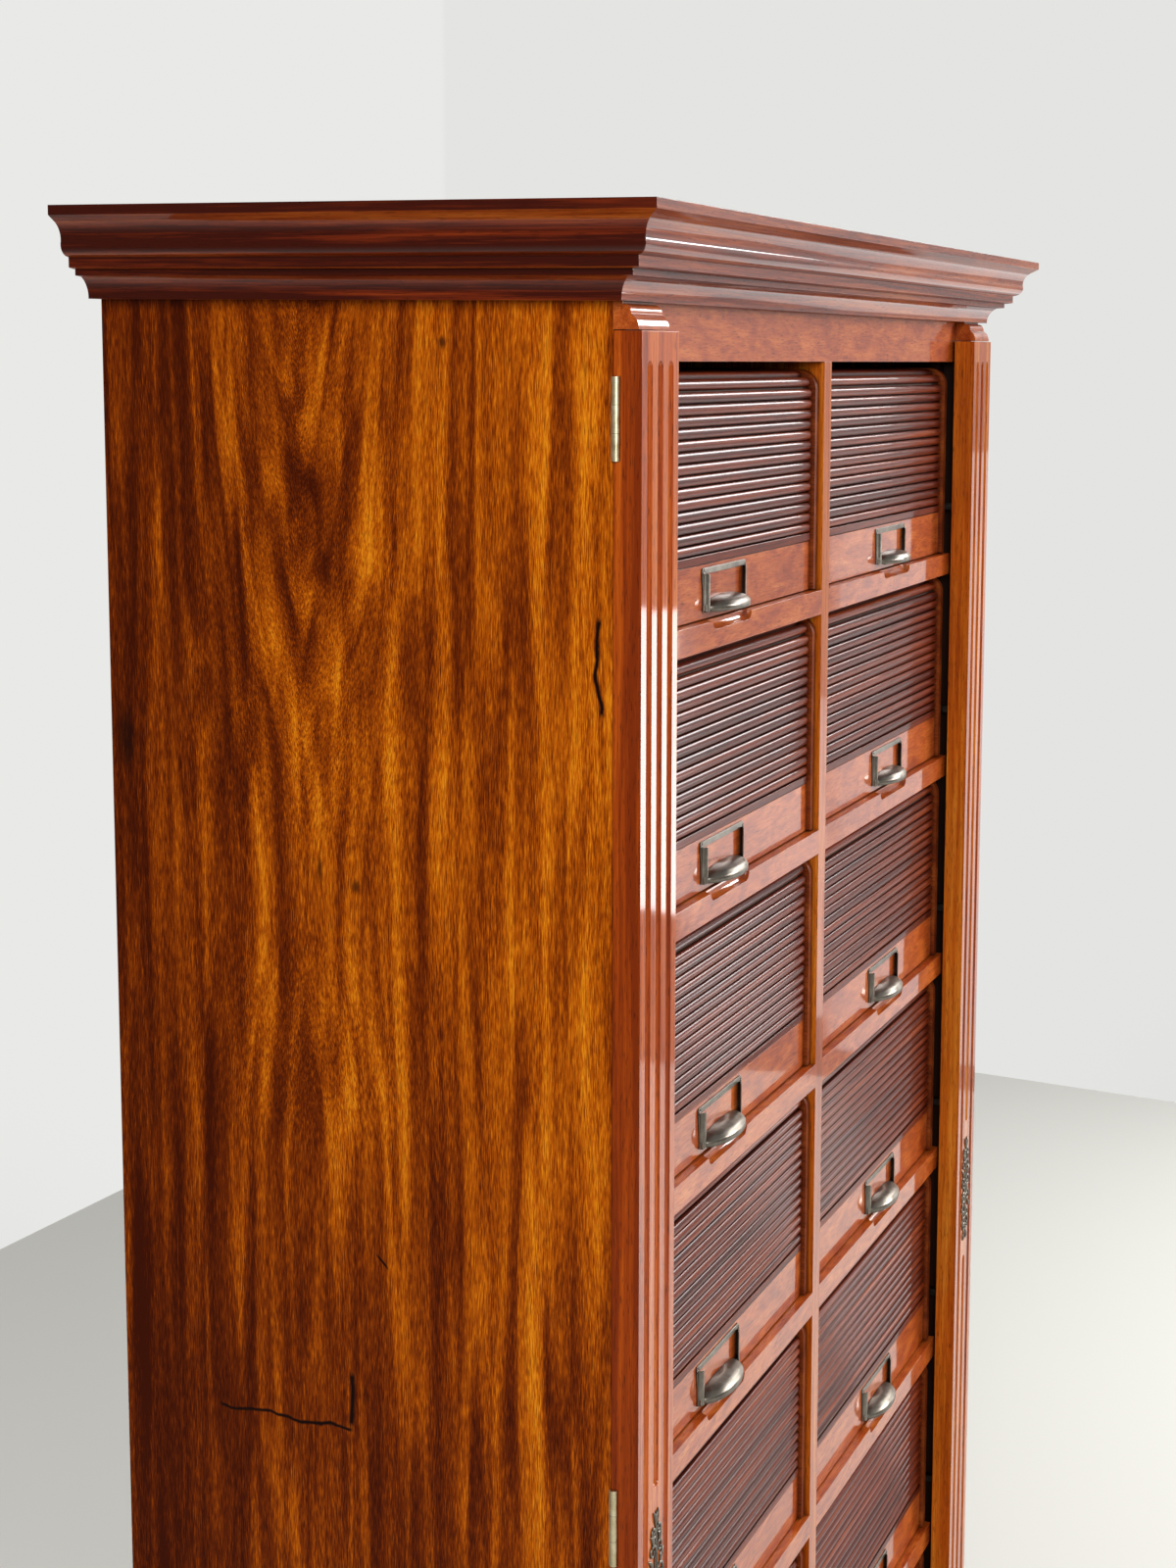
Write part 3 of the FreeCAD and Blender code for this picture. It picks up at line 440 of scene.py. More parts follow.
def mahogany(name, look):
    material, tree, shader = newMaterial(name)
    axis = look["grainAxis"]
    coords = addNode(tree, "TexCoord").outputs["Object"]
    if look.get("perPiece"):
        random = addNode(tree, "ObjectInfo").outputs["Random"]
        shift = addNode(tree, "VectorMath", {0: random, 1: look["pieceShiftM"]}, operation="MULTIPLY").outputs[0]
        coords = addNode(tree, "VectorMath", {0: coords, 1: shift}, operation="ADD").outputs[0]
    facing = addNode(tree, "VectorMath", {0: addNode(tree, "TexCoord").outputs["Normal"]}, operation="ABSOLUTE")
    facing = addNode(tree, "SeparateXYZ", {0: facing.outputs[0]}).outputs
    if look.get("mitred"):
        # The grain turns the corner with the moulding.
        place = addNode(tree, "SeparateXYZ", {0: coords}).outputs
        turned = addNode(tree, "CombineXYZ", {0: place["Y"], 1: place["X"], 2: place["Z"]}).outputs[0]
        onSide = addNode(tree, "Math", {0: facing["X"], 1: facing["Y"]}, operation="GREATER_THAN").outputs[0]
        coords = addNode(tree, "Mix", {0: onSide, 4: coords, 5: turned}, data_type="VECTOR").outputs[1]
    figured = look.get("panelFigure")
    flow, shade = flameFlow(tree, coords) if figured else (coords, None)

    def stretched(widthMm, lengthMm, **noiseInputs):
        scale = [1000 / widthMm] * 3
        scale[axis] = 1000 / lengthMm
        scaled = addNode(tree, "VectorMath", {0: flow, 1: scale}, operation="MULTIPLY").outputs[0]
        return addNode(tree, "TexNoise", {"Vector": scaled, "Scale": 1.0, **noiseInputs}).outputs["Fac"]

    ribbon = stretched(look["ribbonMm"], look["ribbonLengthMm"], Detail=2.5, Distortion=look["ribbonWander"])
    grain = stretched(look["grainMm"], look["grainLengthMm"], Detail=3.0, Roughness=0.6)
    pores = stretched(look["poreMm"], look["poreLengthMm"], Detail=1.0)
    share = look["ribbonShare"]
    tone = addNode(tree, "Math", {0: ribbon, 1: share}, operation="MULTIPLY").outputs[0]
    tone = addNode(tree, "Math", {0: grain, 1: 1 - share, 2: tone}, operation="MULTIPLY_ADD").outputs[0]
    spread = look["toneSpread"] / look["contrast"]
    tone = addNode(
        tree, "MapRange", {"Value": tone, "From Min": 0.5 - spread, "From Max": 0.5 + spread}, clamp=False
    ).outputs["Result"]
    if figured:
        tone = addNode(tree, "Math", {0: tone, 1: shade}, operation="SUBTRACT").outputs[0]
    # Painted shade: faces turned toward the cabinet's sides are darkened.
    if look["sideShade"]:
        ends = dict(zip(("From Min", "From Max"), look["sideShadeFrom"]))
        sideShadeMask = addNode(tree, "MapRange", {"Value": facing["X"], **ends}).outputs["Result"]
        tone = addNode(tree, "Math", {0: sideShadeMask, 1: -look["sideShade"], 2: tone}, operation="MULTIPLY_ADD").outputs[0]
    ramp = addNode(tree, "ValToRGB", {"Fac": tone})
    rampColours(ramp, zip(look["tones"], look["colours"]))
    start = look["poreStart"]
    ends = {"From Min": start, "From Max": start + look["poreEdge"], "To Max": look["poreStrength"]}
    poreMask = addNode(tree, "MapRange", {"Value": pores, **ends}).outputs["Result"]
    colour = addNode(
        tree, "Mix", {0: poreMask, 6: ramp.outputs["Color"], 7: hexToLinear(look["poreColour"])}, data_type="RGBA"
    ).outputs[2]
    if figured:
        marked = {0: knotsAndMarks(tree, coords), 6: colour, 7: hexToLinear(panelFigure["markColour"])}
        colour = addNode(tree, "Mix", marked, data_type="RGBA").outputs[2]
    # Grime and painted shade: ambient occlusion darkens corners, creases and recesses toward a dark colour.
    corner = addNode(tree, "AmbientOcclusion", {"Distance": look["grimeAndShadeMm"] * mm}, samples=4).outputs["AO"]
    clean, darkest = look["grimeAndShadeFrom"]
    ends = {"From Min": clean, "From Max": darkest, "To Max": look["grimeAndShadeStrength"]}
    grimeAndShade = addNode(tree, "MapRange", {"Value": corner, **ends}).outputs["Result"]
    colour = addNode(
        tree, "Mix", {0: grimeAndShade, 6: colour, 7: hexToLinear(look["grimeAndShadeColour"])}, data_type="RGBA"
    ).outputs[2]
    edge = addNode(tree, "Bevel", {"Radius": look["edgeMm"] * mm}, samples=4).outputs["Normal"]
    wave = addNode(tree, "TexNoise", {"Vector": coords, "Scale": 1000 / look["waveMm"], "Detail": 1.0}).outputs["Fac"]
    waveBump = addNode(
        tree, "Bump", {"Strength": 1.0, "Distance": look["waveDepthMm"] * mm, "Height": wave, "Normal": edge}
    ).outputs["Normal"]
    depth = look["grainDepthMm"] * mm
    grainBump = addNode(
        tree, "Bump", {"Strength": look["grainBump"], "Distance": depth, "Height": grain, "Normal": waveBump}
    ).outputs["Normal"]
    tree.links.new(colour, shader.inputs["Base Color"])
    tree.links.new(grainBump, shader.inputs["Normal"])
    tree.links.new(waveBump, shader.inputs["Coat Normal"])
    if look["polish"] != look["sidePolish"]:
        dull = addNode(tree, "Math", {0: facing["X"], 1: facing["Z"]}, operation="MAXIMUM").outputs[0]
        ends = dict(zip(("From Min", "From Max"), look["dullFrom"]))
        ends.update({"To Min": look["polish"], "To Max": look["sidePolish"]})
        polish = addNode(tree, "MapRange", {"Value": dull, **ends}).outputs["Result"]
        tree.links.new(polish, shader.inputs["Coat Weight"])
    for socket, value in {
        "Coat Weight": look["polish"],
        "Roughness": look["roughness"],
        "IOR": 1.5,
        "Specular IOR Level": look["specular"],
        "Coat Roughness": look["polishRoughness"],
        "Coat IOR": 1.5,
    }.items():
        shader.inputs[socket].default_value = value
    return material


woods = {name: mahogany(name, {**baseLook, **look}) for name, look in woodLooks.items()}
print("woods made:", len(woods))


# Metals

metalBase = {
    "roughFrom": (0.35, 0.7),   # patina's noise, from the smoother to the rougher places
    "grimeAndShadeFrom": (0.8, 0.3),    # openness of a corner, from clean to darkest
    "edgeMm": 0.3,
    "patinaBump": 0.2,
    "patinaDepthMm": 0.03,
}


def metal(name, look):
    material, tree, shader = newMaterial(name)
    coords = addNode(tree, "TexCoord").outputs["Object"]
    patina = addNode(
        tree, "TexNoise", {"Vector": coords, "Scale": 1000 / look["patinaMm"], "Detail": 4.0, "Roughness": 0.6}
    ).outputs["Fac"]
    ramp = addNode(tree, "ValToRGB", {"Fac": patina})
    rampColours(ramp, look["colours"])
    roughEnds = dict(zip(("From Min", "From Max", "To Min", "To Max"), look["roughFrom"] + look["roughness"]))
    rough = addNode(tree, "MapRange", {"Value": patina, **roughEnds}).outputs["Result"]
    # Grime and painted shade: ambient occlusion darkens corners and creases toward a dark colour.
    corner = addNode(tree, "AmbientOcclusion", {"Distance": look["grimeAndShadeMm"] * mm}, samples=4).outputs["AO"]
    clean, darkest = look["grimeAndShadeFrom"]
    grimeAndShade = addNode(tree, "MapRange", {"Value": corner, "From Min": clean, "From Max": darkest}).outputs["Result"]
    colour = addNode(
        tree, "Mix", {0: grimeAndShade, 6: ramp.outputs["Color"], 7: hexToLinear(look["grimeAndShadeColour"])}, data_type="RGBA"
    ).outputs[2]
    edge = addNode(tree, "Bevel", {"Radius": look["edgeMm"] * mm}, samples=4).outputs["Normal"]
    depth = look["patinaDepthMm"] * mm
    bump = addNode(
        tree, "Bump", {"Strength": look["patinaBump"], "Distance": depth, "Height": patina, "Normal": edge}
    ).outputs["Normal"]
    tree.links.new(colour, shader.inputs["Base Color"])
    tree.links.new(rough, shader.inputs["Roughness"])
    tree.links.new(bump, shader.inputs["Normal"])
    shader.inputs["Metallic"].default_value = 1.0
    return material


metalLooks = {
    # Nickel-plated brass worn by fingers: pale and bright on top, brown-black grime and painted shade in its corners.
    "wornNickel": {
        "patinaMm": 16.0,
        "roughness": (0.3, 0.42),
        "grimeAndShadeMm": 3.0,
        "grimeAndShadeColour": "#120d0a",
        "colours": [(0.35, "#625b53"), (0.55, "#7f786e"), (0.8, "#9b9489")],
    },
    # Lacquered brass, dulled by age: pale, with soft broad highlights.
    "paleBrass": {
        "patinaMm": 9.0,
        "roughness": (0.3, 0.5),
        "grimeAndShadeMm": 1.5,
        "grimeAndShadeColour": "#2b2114",
        "colours": [(0.35, "#c4b78f"), (0.6, "#dfd5b2"), (0.8, "#ebe4c8")],
    },
    # Oiled steel of the lock works: dark, with a greasy sheen.
    "oiledSteel": {
        "patinaMm": 7.0,
        "roughness": (0.4, 0.55),
        "grimeAndShadeMm": 2.0,
        "grimeAndShadeColour": "#100e0d",
        "colours": [(0.35, "#2a2623"), (0.6, "#3b3632"), (0.8, "#4d4742")],
    },
}
metals = {name: metal(name, {**metalBase, **look}) for name, look in metalLooks.items()}
print("metals made:", len(metals))


# The CAD nodes that stay, and their finishes

nodesByFinish = {
    "sideVeneer": ["side_panel_left", "side_panel_right"],
    "backPine": ["back_panel"],
    "innerMahogany": ["top_board", "bottom_board", "drawer_runners_and_stops"],
    "uprightMahogany": ["centre_partition", "pilaster_right"],
    "pilasterMahogany": ["pilaster_left"],
    "frontMahogany": ["frieze_rail", "drawer_rails", "capitals"],
    "paintedShadowMahogany": ["guide_stiles"],
    "mouldingMahogany": ["plinth", "cornice_crown", "cornice_bed"],
    "paleBrass": [
        "carcass_hinge_leaves",
        "pilaster_hinge_leaves_left",
        "pilaster_hinge_leaves_right",
        "carcass_hinge_screws",
        "hinge_pins",
    ],
    "oiledSteel": [
        "lock_staples",
        "lock_case_and_lugs_left",
        "lock_case_and_lugs_right",
        "lock_bolt_left",
        "lock_bolt_right",
    ],
}
finishes = {**woods, **metals}
for finishName, nodeNames in nodesByFinish.items():
    for nodeName in nodeNames:
        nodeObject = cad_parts[nodeName]
        if not nodeObject.material_slots:
            nodeObject.data.materials.append(finishes[finishName])
        for slot in nodeObject.material_slots:
            slot.material = finishes[finishName]
print("CAD nodes finished:", sum(len(names) for names in nodesByFinish.values()))


# Drawers, in mm from the drawer's base, with Y from its sides' front edges back

drawer = {
    "sideThickness": 8.0,
    "frontHeight": 37.5,
    "frontThickness": 12.0,
    "frontSetback": 3.5,
    "tongueThickness": 6.0,
    "cornerRadius": 15.0,
    "bottomRaise": 8.0,
    "bottomThickness": 5.0,
    "backThickness": 10.0,
    "backDrop": 12.0,
    "hoodReach": 12.5,          # how far the pull stands out in front of the sides
    "trackRadius": 9.5,
    "trackTop": 162.5,
    "canvasLine": 7.9,          # how far behind the sides' front edges the canvas runs
    "canvasThickness": 0.8,
    "trackHalf": 1.1,           # half the groove's width
    "trackDepth": 4.0,
    "trackEnd": 25.0,           # where the groove stops, before the drawer's back
    "cornerSteps": 10,
    "edgeRadius": 0.6,
}
# The tambour's slats, each flat behind and round in front, and the bar at its foot.
tambour = {
    "pitch": 7.9,
    "joint": 0.5,
    "thickness": 5.0,
    "edge": 1.6,                # flat edge beside the canvas
    "fullness": 0.8,            # below 1 the slat's front is fuller than an ellipse
    "endGap": 1.0,
    "count": 24,
    "barHeight": 6.0,
    "barGap": 0.5,
    "faceRecess": 2.5,
    "arcSteps": 10,
    "canvasInset": 1.0,
    "weaveMm": 0.8,
    "canvasColours": [(0.3, "#2c1c12"), (0.7, "#453022")],
}
# The card frame, its finger hood and its screws, from the middle of the frame's foot.
pull = {
    "raise": 5.0,
    "height": 30.0,
    "openingWidth": 70.0,
    "channelWidth": 4.0,
    "channelProud": 4.0,
    "wall": 1.0,
    "topBar": 4.0,
    "bottomBar": 5.0,
    "bottomProud": 3.0,
    "barProud": 0.3,
    "rollDegrees": -100,
    "rollSteps": 10,
    "flange": 2.6,
    "flangeFoot": 0.6,
    "flangeChamfer": 1.0,
    "flangeSteps": 8,
    "edgeRadius": 0.25,
    "earHeight": 7.0,
    "tabWidth": 28.0,
    "tabHeight": 2.4,
    "tabLap": 0.5,
    "tabScrewSpacing": 18.0,
    "tabScrewZ": -1.0,
    "hoodWidth": 70.0,
    "hoodDepth": 16.0,
    "hoodHeight": 9.5,
    "hoodWall": 1.0,
    "hoodCrown": 4.8,
    # From the dome's middle out: share of its width and depth, and share of its crown.
    "hoodDome": [(0.0, 1.0), (0.35, 0.93), (0.6, 0.78), (0.8, 0.52), (0.9, 0.28), (0.955, 0.0)],
    # Down its rolled edge: share of its width and depth, and how far below the dome's rim.
    "hoodRim": [(0.98, 0.5), (1.0, 1.3), (1.0, 9.5)],
    "hoodSteps": 36,
    "screwRadius": 1.5,
    "tabScrewRadius": 1.2,
    "screwRise": 0.8,
    "screwSlot": 0.2,           # half the slot's width
    "screwArc": 72,             # half the angle of one half of the head, in degrees
    "screwSteps": 8,
    # Up the domed head: share of its radius and share of its rise.
    "screwDome": [(1.0, 0.0), (0.95, 0.35), (0.75, 0.7), (0.45, 0.92)],
    "fromPartition": {"left": 193.0, "right": 184.5},
}
drawerLow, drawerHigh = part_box("drawer_left_1")
drawerWidth = (drawerHigh.x - drawerLow.x) / mm
drawerHeight = (drawerHigh.z - drawerLow.z) / mm
drawerDepth = (drawerHigh.y - drawerLow.y) / mm - drawer["hoodReach"]
drawerInside = drawerWidth / 2 - drawer["sideThickness"]
trackCentre = (drawer["canvasLine"] + drawer["trackRadius"], drawer["trackTop"] - drawer["trackRadius"])


def trackLine(offset, low, rear):
    # The tambour's track, offset outward, from the front's foot round the corner to the rear.
    radius = drawer["trackRadius"] + offset
    y, z = trackCentre
    points = [(y - radius, low)]
    points += arcPoints(y, z, radius, 180, 90, drawer["cornerSteps"])
    points.append((rear, z + radius))
    return points


def buildDrawerBoards(bm):
    half = drawerWidth / 2
    height = drawerHeight
    radius = drawer["cornerRadius"]
    face = drawer["frontSetback"]
    back = face + drawer["frontThickness"]
    tongueFace = (face + back - drawer["tongueThickness"]) / 2
    tongueBack = tongueFace + drawer["tongueThickness"]
    top = drawer["frontHeight"]
    corner = arcPoints(radius, height - radius, radius, 180, 90, drawer["cornerSteps"])
    outline = [(0.0, 0.0)] + corner + [(drawerDepth, height), (drawerDepth, 0.0)]
    rear = drawerDepth - drawer["trackEnd"]
    outer = trackLine(drawer["trackHalf"], top, rear)
    inner = trackLine(-drawer["trackHalf"], top, rear)
    grooved = outline + [(tongueBack, 0.0), (tongueBack, top)] + inner + list(reversed(outer))
    grooved += [(tongueFace, top), (tongueFace, 0.0)]
    grooveFloor = drawerInside + drawer["trackDepth"]
    for sign in (-1, 1):
        addPrism(bm, outline, sign * half, sign * grooveFloor, slot=1)
        addPrism(bm, grooved, sign * grooveFloor, sign * drawerInside, slot=1)
        addBox(bm, sign * drawerInside, sign * grooveFloor, tongueFace, tongueBack, 0, top)
    addBox(bm, -drawerInside, drawerInside, face, back, 0, top)
    floor = drawer["bottomRaise"]
    backBoard = drawerDepth - drawer["backThickness"]
    addBox(bm, -drawerInside, drawerInside, back, backBoard, floor, floor + drawer["bottomThickness"], 1)
    addBox(bm, -drawerInside, drawerInside, backBoard, drawerDepth, floor, height - drawer["backDrop"], slot=1)


def slatOutline():
    half = (tambour["pitch"] - tambour["joint"]) / 2
    back = -drawer["canvasThickness"] / 2
    edge = back - tambour["edge"]
    rise = tambour["thickness"] - tambour["edge"]
    outline = [(back, -half), (edge, -half)]
    for i in range(1, tambour["arcSteps"]):
        angle = math.pi * i / tambour["arcSteps"]
        outline.append((edge - rise * math.sin(angle) ** tambour["fullness"], -half * math.cos(angle)))
    outline += [(edge, half), (back, half)]
    return outline


def trackPlace(distance):
    # Y, Z and turn of a point of the canvas, so far along the track from the bar.
    straight = trackCentre[1] - drawer["frontHeight"] - tambour["barGap"] - tambour["barHeight"]
    bend = drawer["trackRadius"] * math.pi / 2
    if distance < straight:
        return drawer["canvasLine"], trackCentre[1] - straight + distance, 0.0
    if distance < straight + bend:
        turn = (distance - straight) / drawer["trackRadius"]
        y = trackCentre[0] - drawer["trackRadius"] * math.cos(turn)
        return y, trackCentre[1] + drawer["trackRadius"] * math.sin(turn), turn
    return trackCentre[0] + distance - straight - bend, drawer["trackTop"], math.pi / 2


def buildSlats(upright):
    def build(bm):
        half = drawerInside - tambour["endGap"]
        for index in range(tambour["count"]):
            y, z, turn = trackPlace((index + 0.5) * tambour["pitch"])
            if (turn == 0.0) != upright:
                continue
            outline = []
            for across, up in slatOutline():
                outline.append((
                    y + across * math.cos(turn) + up * math.sin(turn),
                    z - across * math.sin(turn) + up * math.cos(turn),
                ))
            addPrism(bm, outline, -half, half)
        thin = drawer["canvasThickness"] / 2
        width = drawerInside + drawer["trackDepth"] - tambour["canvasInset"]
        if upright:
            foot = drawer["frontHeight"] + tambour["barGap"]
            line = drawer["canvasLine"]
            addBox(bm, -width, width, line - thin, line + thin, foot, trackCentre[1], slot=1)
        else:
            rear = trackPlace(tambour["count"] * tambour["pitch"])[0]
            outer = trackLine(thin, trackCentre[1], rear)
            inner = trackLine(-thin, trackCentre[1], rear)
            addPrism(bm, outer + list(reversed(inner)), -width, width, slot=1)
    return build


def buildBar(bm):
    half = drawerInside - tambour["endGap"]
    foot = drawer["frontHeight"] + tambour["barGap"]
    back = drawer["canvasLine"] - drawer["canvasThickness"] / 2
    addBox(bm, -half, half, tambour["faceRecess"], back, foot, foot + tambour["barHeight"])


def buildCardFrame(bm):
    half = pull["openingWidth"] / 2
    outer = half + pull["channelWidth"]
    top = pull["height"]
    wall = pull["wall"]
    barBase = top - pull["topBar"]
    foot = pull["flangeFoot"]
    chamfer = pull["flangeChamfer"]
    tip = outer + pull["flange"]
    steps = pull["flangeSteps"]
    for sign in (-1, 1):
        # The channel is sheet rolled forward in a quarter round that holds the card's edge.
        reach = pull["channelProud"]
        rolled = arcPoints(half, 0, reach, 0, pull["rollDegrees"], pull["rollSteps"])
        rolled += reversed(arcPoints(half, 0, reach - wall, 0, pull["rollDegrees"], pull["rollSteps"]))
        addSolid(bm, [(sign * x, y, 0) for x, y in rolled], [(sign * x, y, barBase) for x, y in rolled])
        # The flange beside it widens upward to an ear for the screw.
        flange = [(outer - wall, 0.0)]
        for i in range(steps + 1):
            rise = i / steps
            flange.append((outer + foot + (pull["flange"] - foot) * rise ** 3, rise * (top - pull["earHeight"])))
        flange += [(tip, top - chamfer), (tip - chamfer, top), (outer - wall, top)]
        addSolid(bm, [(sign * x, -wall, z) for x, z in flange], [(sign * x, 0, z) for x, z in flange])
    addBox(bm, -outer, outer, -wall - pull["barProud"], 0, barBase, top)
    addBox(bm, -outer, outer, -wall, 0, 0, pull["bottomBar"])
    addBox(bm, -outer, outer, -pull["bottomProud"], 0, 0, wall)
    addBox(bm, -outer, outer, -pull["bottomProud"], -pull["bottomProud"] + wall, 0, pull["bottomBar"])
    tab = pull["tabWidth"] / 2
    addBox(bm, -tab, tab, -wall, 0, -pull["tabHeight"], pull["tabLap"])


def buildHood(bm):
    # A shallow dome over a half ellipse in plan, whose edge rolls down all round.
    half = pull["hoodWidth"] / 2
    depth = pull["hoodDepth"]
    steps = pull["hoodSteps"]
    rim = pull["hoodHeight"] - pull["hoodCrown"]
    levels = [(share, rim + pull["hoodCrown"] * crown) for share, crown in pull["hoodDome"]]
    levels += [(share, max(rim - fall, 0.0)) for share, fall in pull["hoodRim"]]
    rings = []
    for share, z in levels:
        ring = []
        for i in range(steps + 1):
            angle = math.pi * i / steps
            ring.append((-half * share * math.cos(angle), -depth * share * math.sin(angle), z))
        rings.append(addPoints(bm, ring))
    joinRings(bm, rings, closed=False)
    bmesh.ops.remove_doubles(bm, verts=bm.verts, dist=0.001 * mm)


def buildScrews(bm):
    earX = pull["openingWidth"] / 2 + pull["channelWidth"] + pull["flange"] / 2
    earZ = pull["height"] - pull["earHeight"] / 2
    tabX = pull["tabScrewSpacing"] / 2
    tabZ = pull["tabScrewZ"]
    # Each screw: place, radius and how far its slot is turned.
    screws = (
        (-earX, earZ, pull["screwRadius"], 20),
        (earX, earZ, pull["screwRadius"], 75),
        (-tabX, tabZ, pull["tabScrewRadius"], 140),
        (tabX, tabZ, pull["tabScrewRadius"], 100),
    )
    steps = pull["screwSteps"]
    for x, z, radius, turn in screws:
        swing = math.radians(turn)
        for side in (-1, 1):
            # Each half of the domed head, with the slot between them.
            loops = []
            for share, rise in pull["screwDome"]:
                loop = []
                for i in range(steps + 1):
                    angle = math.radians(pull["screwArc"] * (2 * i / steps - 1))
                    along = radius * share * math.sin(angle)
                    across = side * max(radius * share * math.cos(angle), pull["screwSlot"])
                    px = along * math.cos(swing) - across * math.sin(swing)
                    pz = along * math.sin(swing) + across * math.cos(swing)
                    loop.append((x + px, -pull["wall"] - pull["screwRise"] * rise, z + pz))
                loops.append(addPoints(bm, loop))
            joinRings(bm, loops)
            bm.faces.new(loops[-1])


# Plain-woven linen, glued behind the slats: dull brown threads.
canvasCloth, canvasTree, canvasShader = newMaterial("linenCanvas")
canvasCoords = addNode(canvasTree, "TexCoord").outputs["Object"]
canvasScale = 1000 / tambour["weaveMm"]
canvasWeave = addNode(canvasTree, "TexNoise", {"Vector": canvasCoords, "Scale": canvasScale, "Detail": 1.0})
canvasRamp = addNode(canvasTree, "ValToRGB", {"Fac": canvasWeave.outputs["Fac"]})
rampColours(canvasRamp, tambour["canvasColours"])
canvasTree.links.new(canvasRamp.outputs["Color"], canvasShader.inputs["Base Color"])
canvasShader.inputs["Roughness"].default_value = 0.9

drawerWood = woods["drawerMahogany"]
sideWood = woods["drawerSideMahogany"]
slatWood = woods["slatMahogany"]
boardsMesh = meshFromBuild("drawerBoards", buildDrawerBoards)
uprightMesh = meshFromBuild("uprightSlats", buildSlats(True), 50)
bentMesh = meshFromBuild("bentSlats", buildSlats(False), 50)
barMesh = meshFromBuild("tambourBar", buildBar)
cardMesh = meshFromBuild("cardFrame", buildCardFrame)
hoodMesh = meshFromBuild("fingerHood", buildHood, 60)
screwMesh = meshFromBuild("pullScrews", buildScrews, 50)

partitionHalf = (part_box("centre_partition")[1].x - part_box("centre_partition")[0].x) / 2
for column, sign in (("left", -1), ("right", 1)):
    for row in range(1, 9):
        tag = "%s_%d" % (column, row)
        body = "drawer_" + tag
        low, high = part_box(body)
        place = Vector(((low.x + high.x) / 2, low.y + drawer["hoodReach"] * mm, low.z))
        boards = pieceFromMesh("drawerBoards_" + tag, boardsMesh, body, [drawerWood, sideWood], place)
        addBevel(boards, drawer["edgeRadius"])
        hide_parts(body)
        upright = pieceFromMesh("uprightSlats_" + tag, uprightMesh.copy(), body, [slatWood, canvasCloth], place)
        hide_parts("tambour_" + tag)
        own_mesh(upright)
        bent = pieceFromMesh("bentSlats_" + tag, bentMesh, body, [slatWood, canvasCloth], place)
        bar = pieceFromMesh("tambourBar_" + tag, barMesh, "tambour_" + tag, [slatWood], place)
        addBevel(bar, drawer["edgeRadius"])
        pullX = sign * (partitionHalf + pull["fromPartition"][column] * mm)
        pullPlace = Vector((pullX, place.y + drawer["frontSetback"] * mm, place.z + pull["raise"] * mm))
        card = pieceFromMesh("cardFrame_" + tag, cardMesh, body, [metals["wornNickel"]], pullPlace)
        addBevel(card, pull["edgeRadius"])
        hood = pieceFromMesh("fingerHood_" + tag, hoodMesh, body, [metals["wornNickel"]], pullPlace)
        shell = hood.modifiers.new("sheetThickness", "SOLIDIFY")
        shell.thickness = pull["hoodWall"] * mm
        shell.offset = -1
        screws = pieceFromMesh("pullScrews_" + tag, screwMesh, body, [metals["wornNickel"]], pullPlace)
print("drawers built")


# Pierced escutcheons of cast scrollwork, in mm from the lock's middle on the pilaster's face

escutcheon = {
    # Each scroll and leaf is mirrored left and right.
    # Scroll: middle x and z, first radius, first angle, turns.
    "scrolls": [
        (6.2, 8.0, 6.0, -120, 1.3),
        (6.2, -8.0, 6.0, 120, -1.3),
        (5.4, 24.0, 5.2, 200, -1.2),
        (5.4, -24.0, 5.2, 160, 1.2),
        (4.0, 37.5, 3.8, -110, 1.2),
        (4.0, -37.5, 3.8, 110, -1.2),
    ],
    "scrollClose": 0.78,        # share of its radius that a scroll loses toward its end
    "scrollThin": 0.35,
    "scrollSteps": 18,
    # Leaf: middle x and z, angle.
    "leaves": [
        (9.5, 16.5, 60),
        (9.5, -16.5, -60),
        (7.0, 31.5, 70),
        (7.0, -31.5, -70),
        (3.0, 46.0, 75),
        (3.0, -46.0, -75),
    ],
    "leafLength": 10.0,
    "leafBow": 1.6,
    "leafSwell": (0.25, 1.15, 0.8),  # thickness at the tips, gain in the middle, fullness
    "leafSteps": 8,
    "spineX": 2.2,
    "spineStep": 4.6,
    "spineCount": 11,
    "spineSwell": (0.9, 0.05),  # thickness in the middle, loss at each step outward
    "stemRadius": 1.15,
    "keyRing": 4.2,
    "keyRingRise": 1.35,        # the ring round the keyhole is higher than wide
    "keyRingSwell": 1.1,
    "keyRingSteps": 24,
    "barSides": 8,
    "lift": 0.4,
    "flatness": 0.9,
}


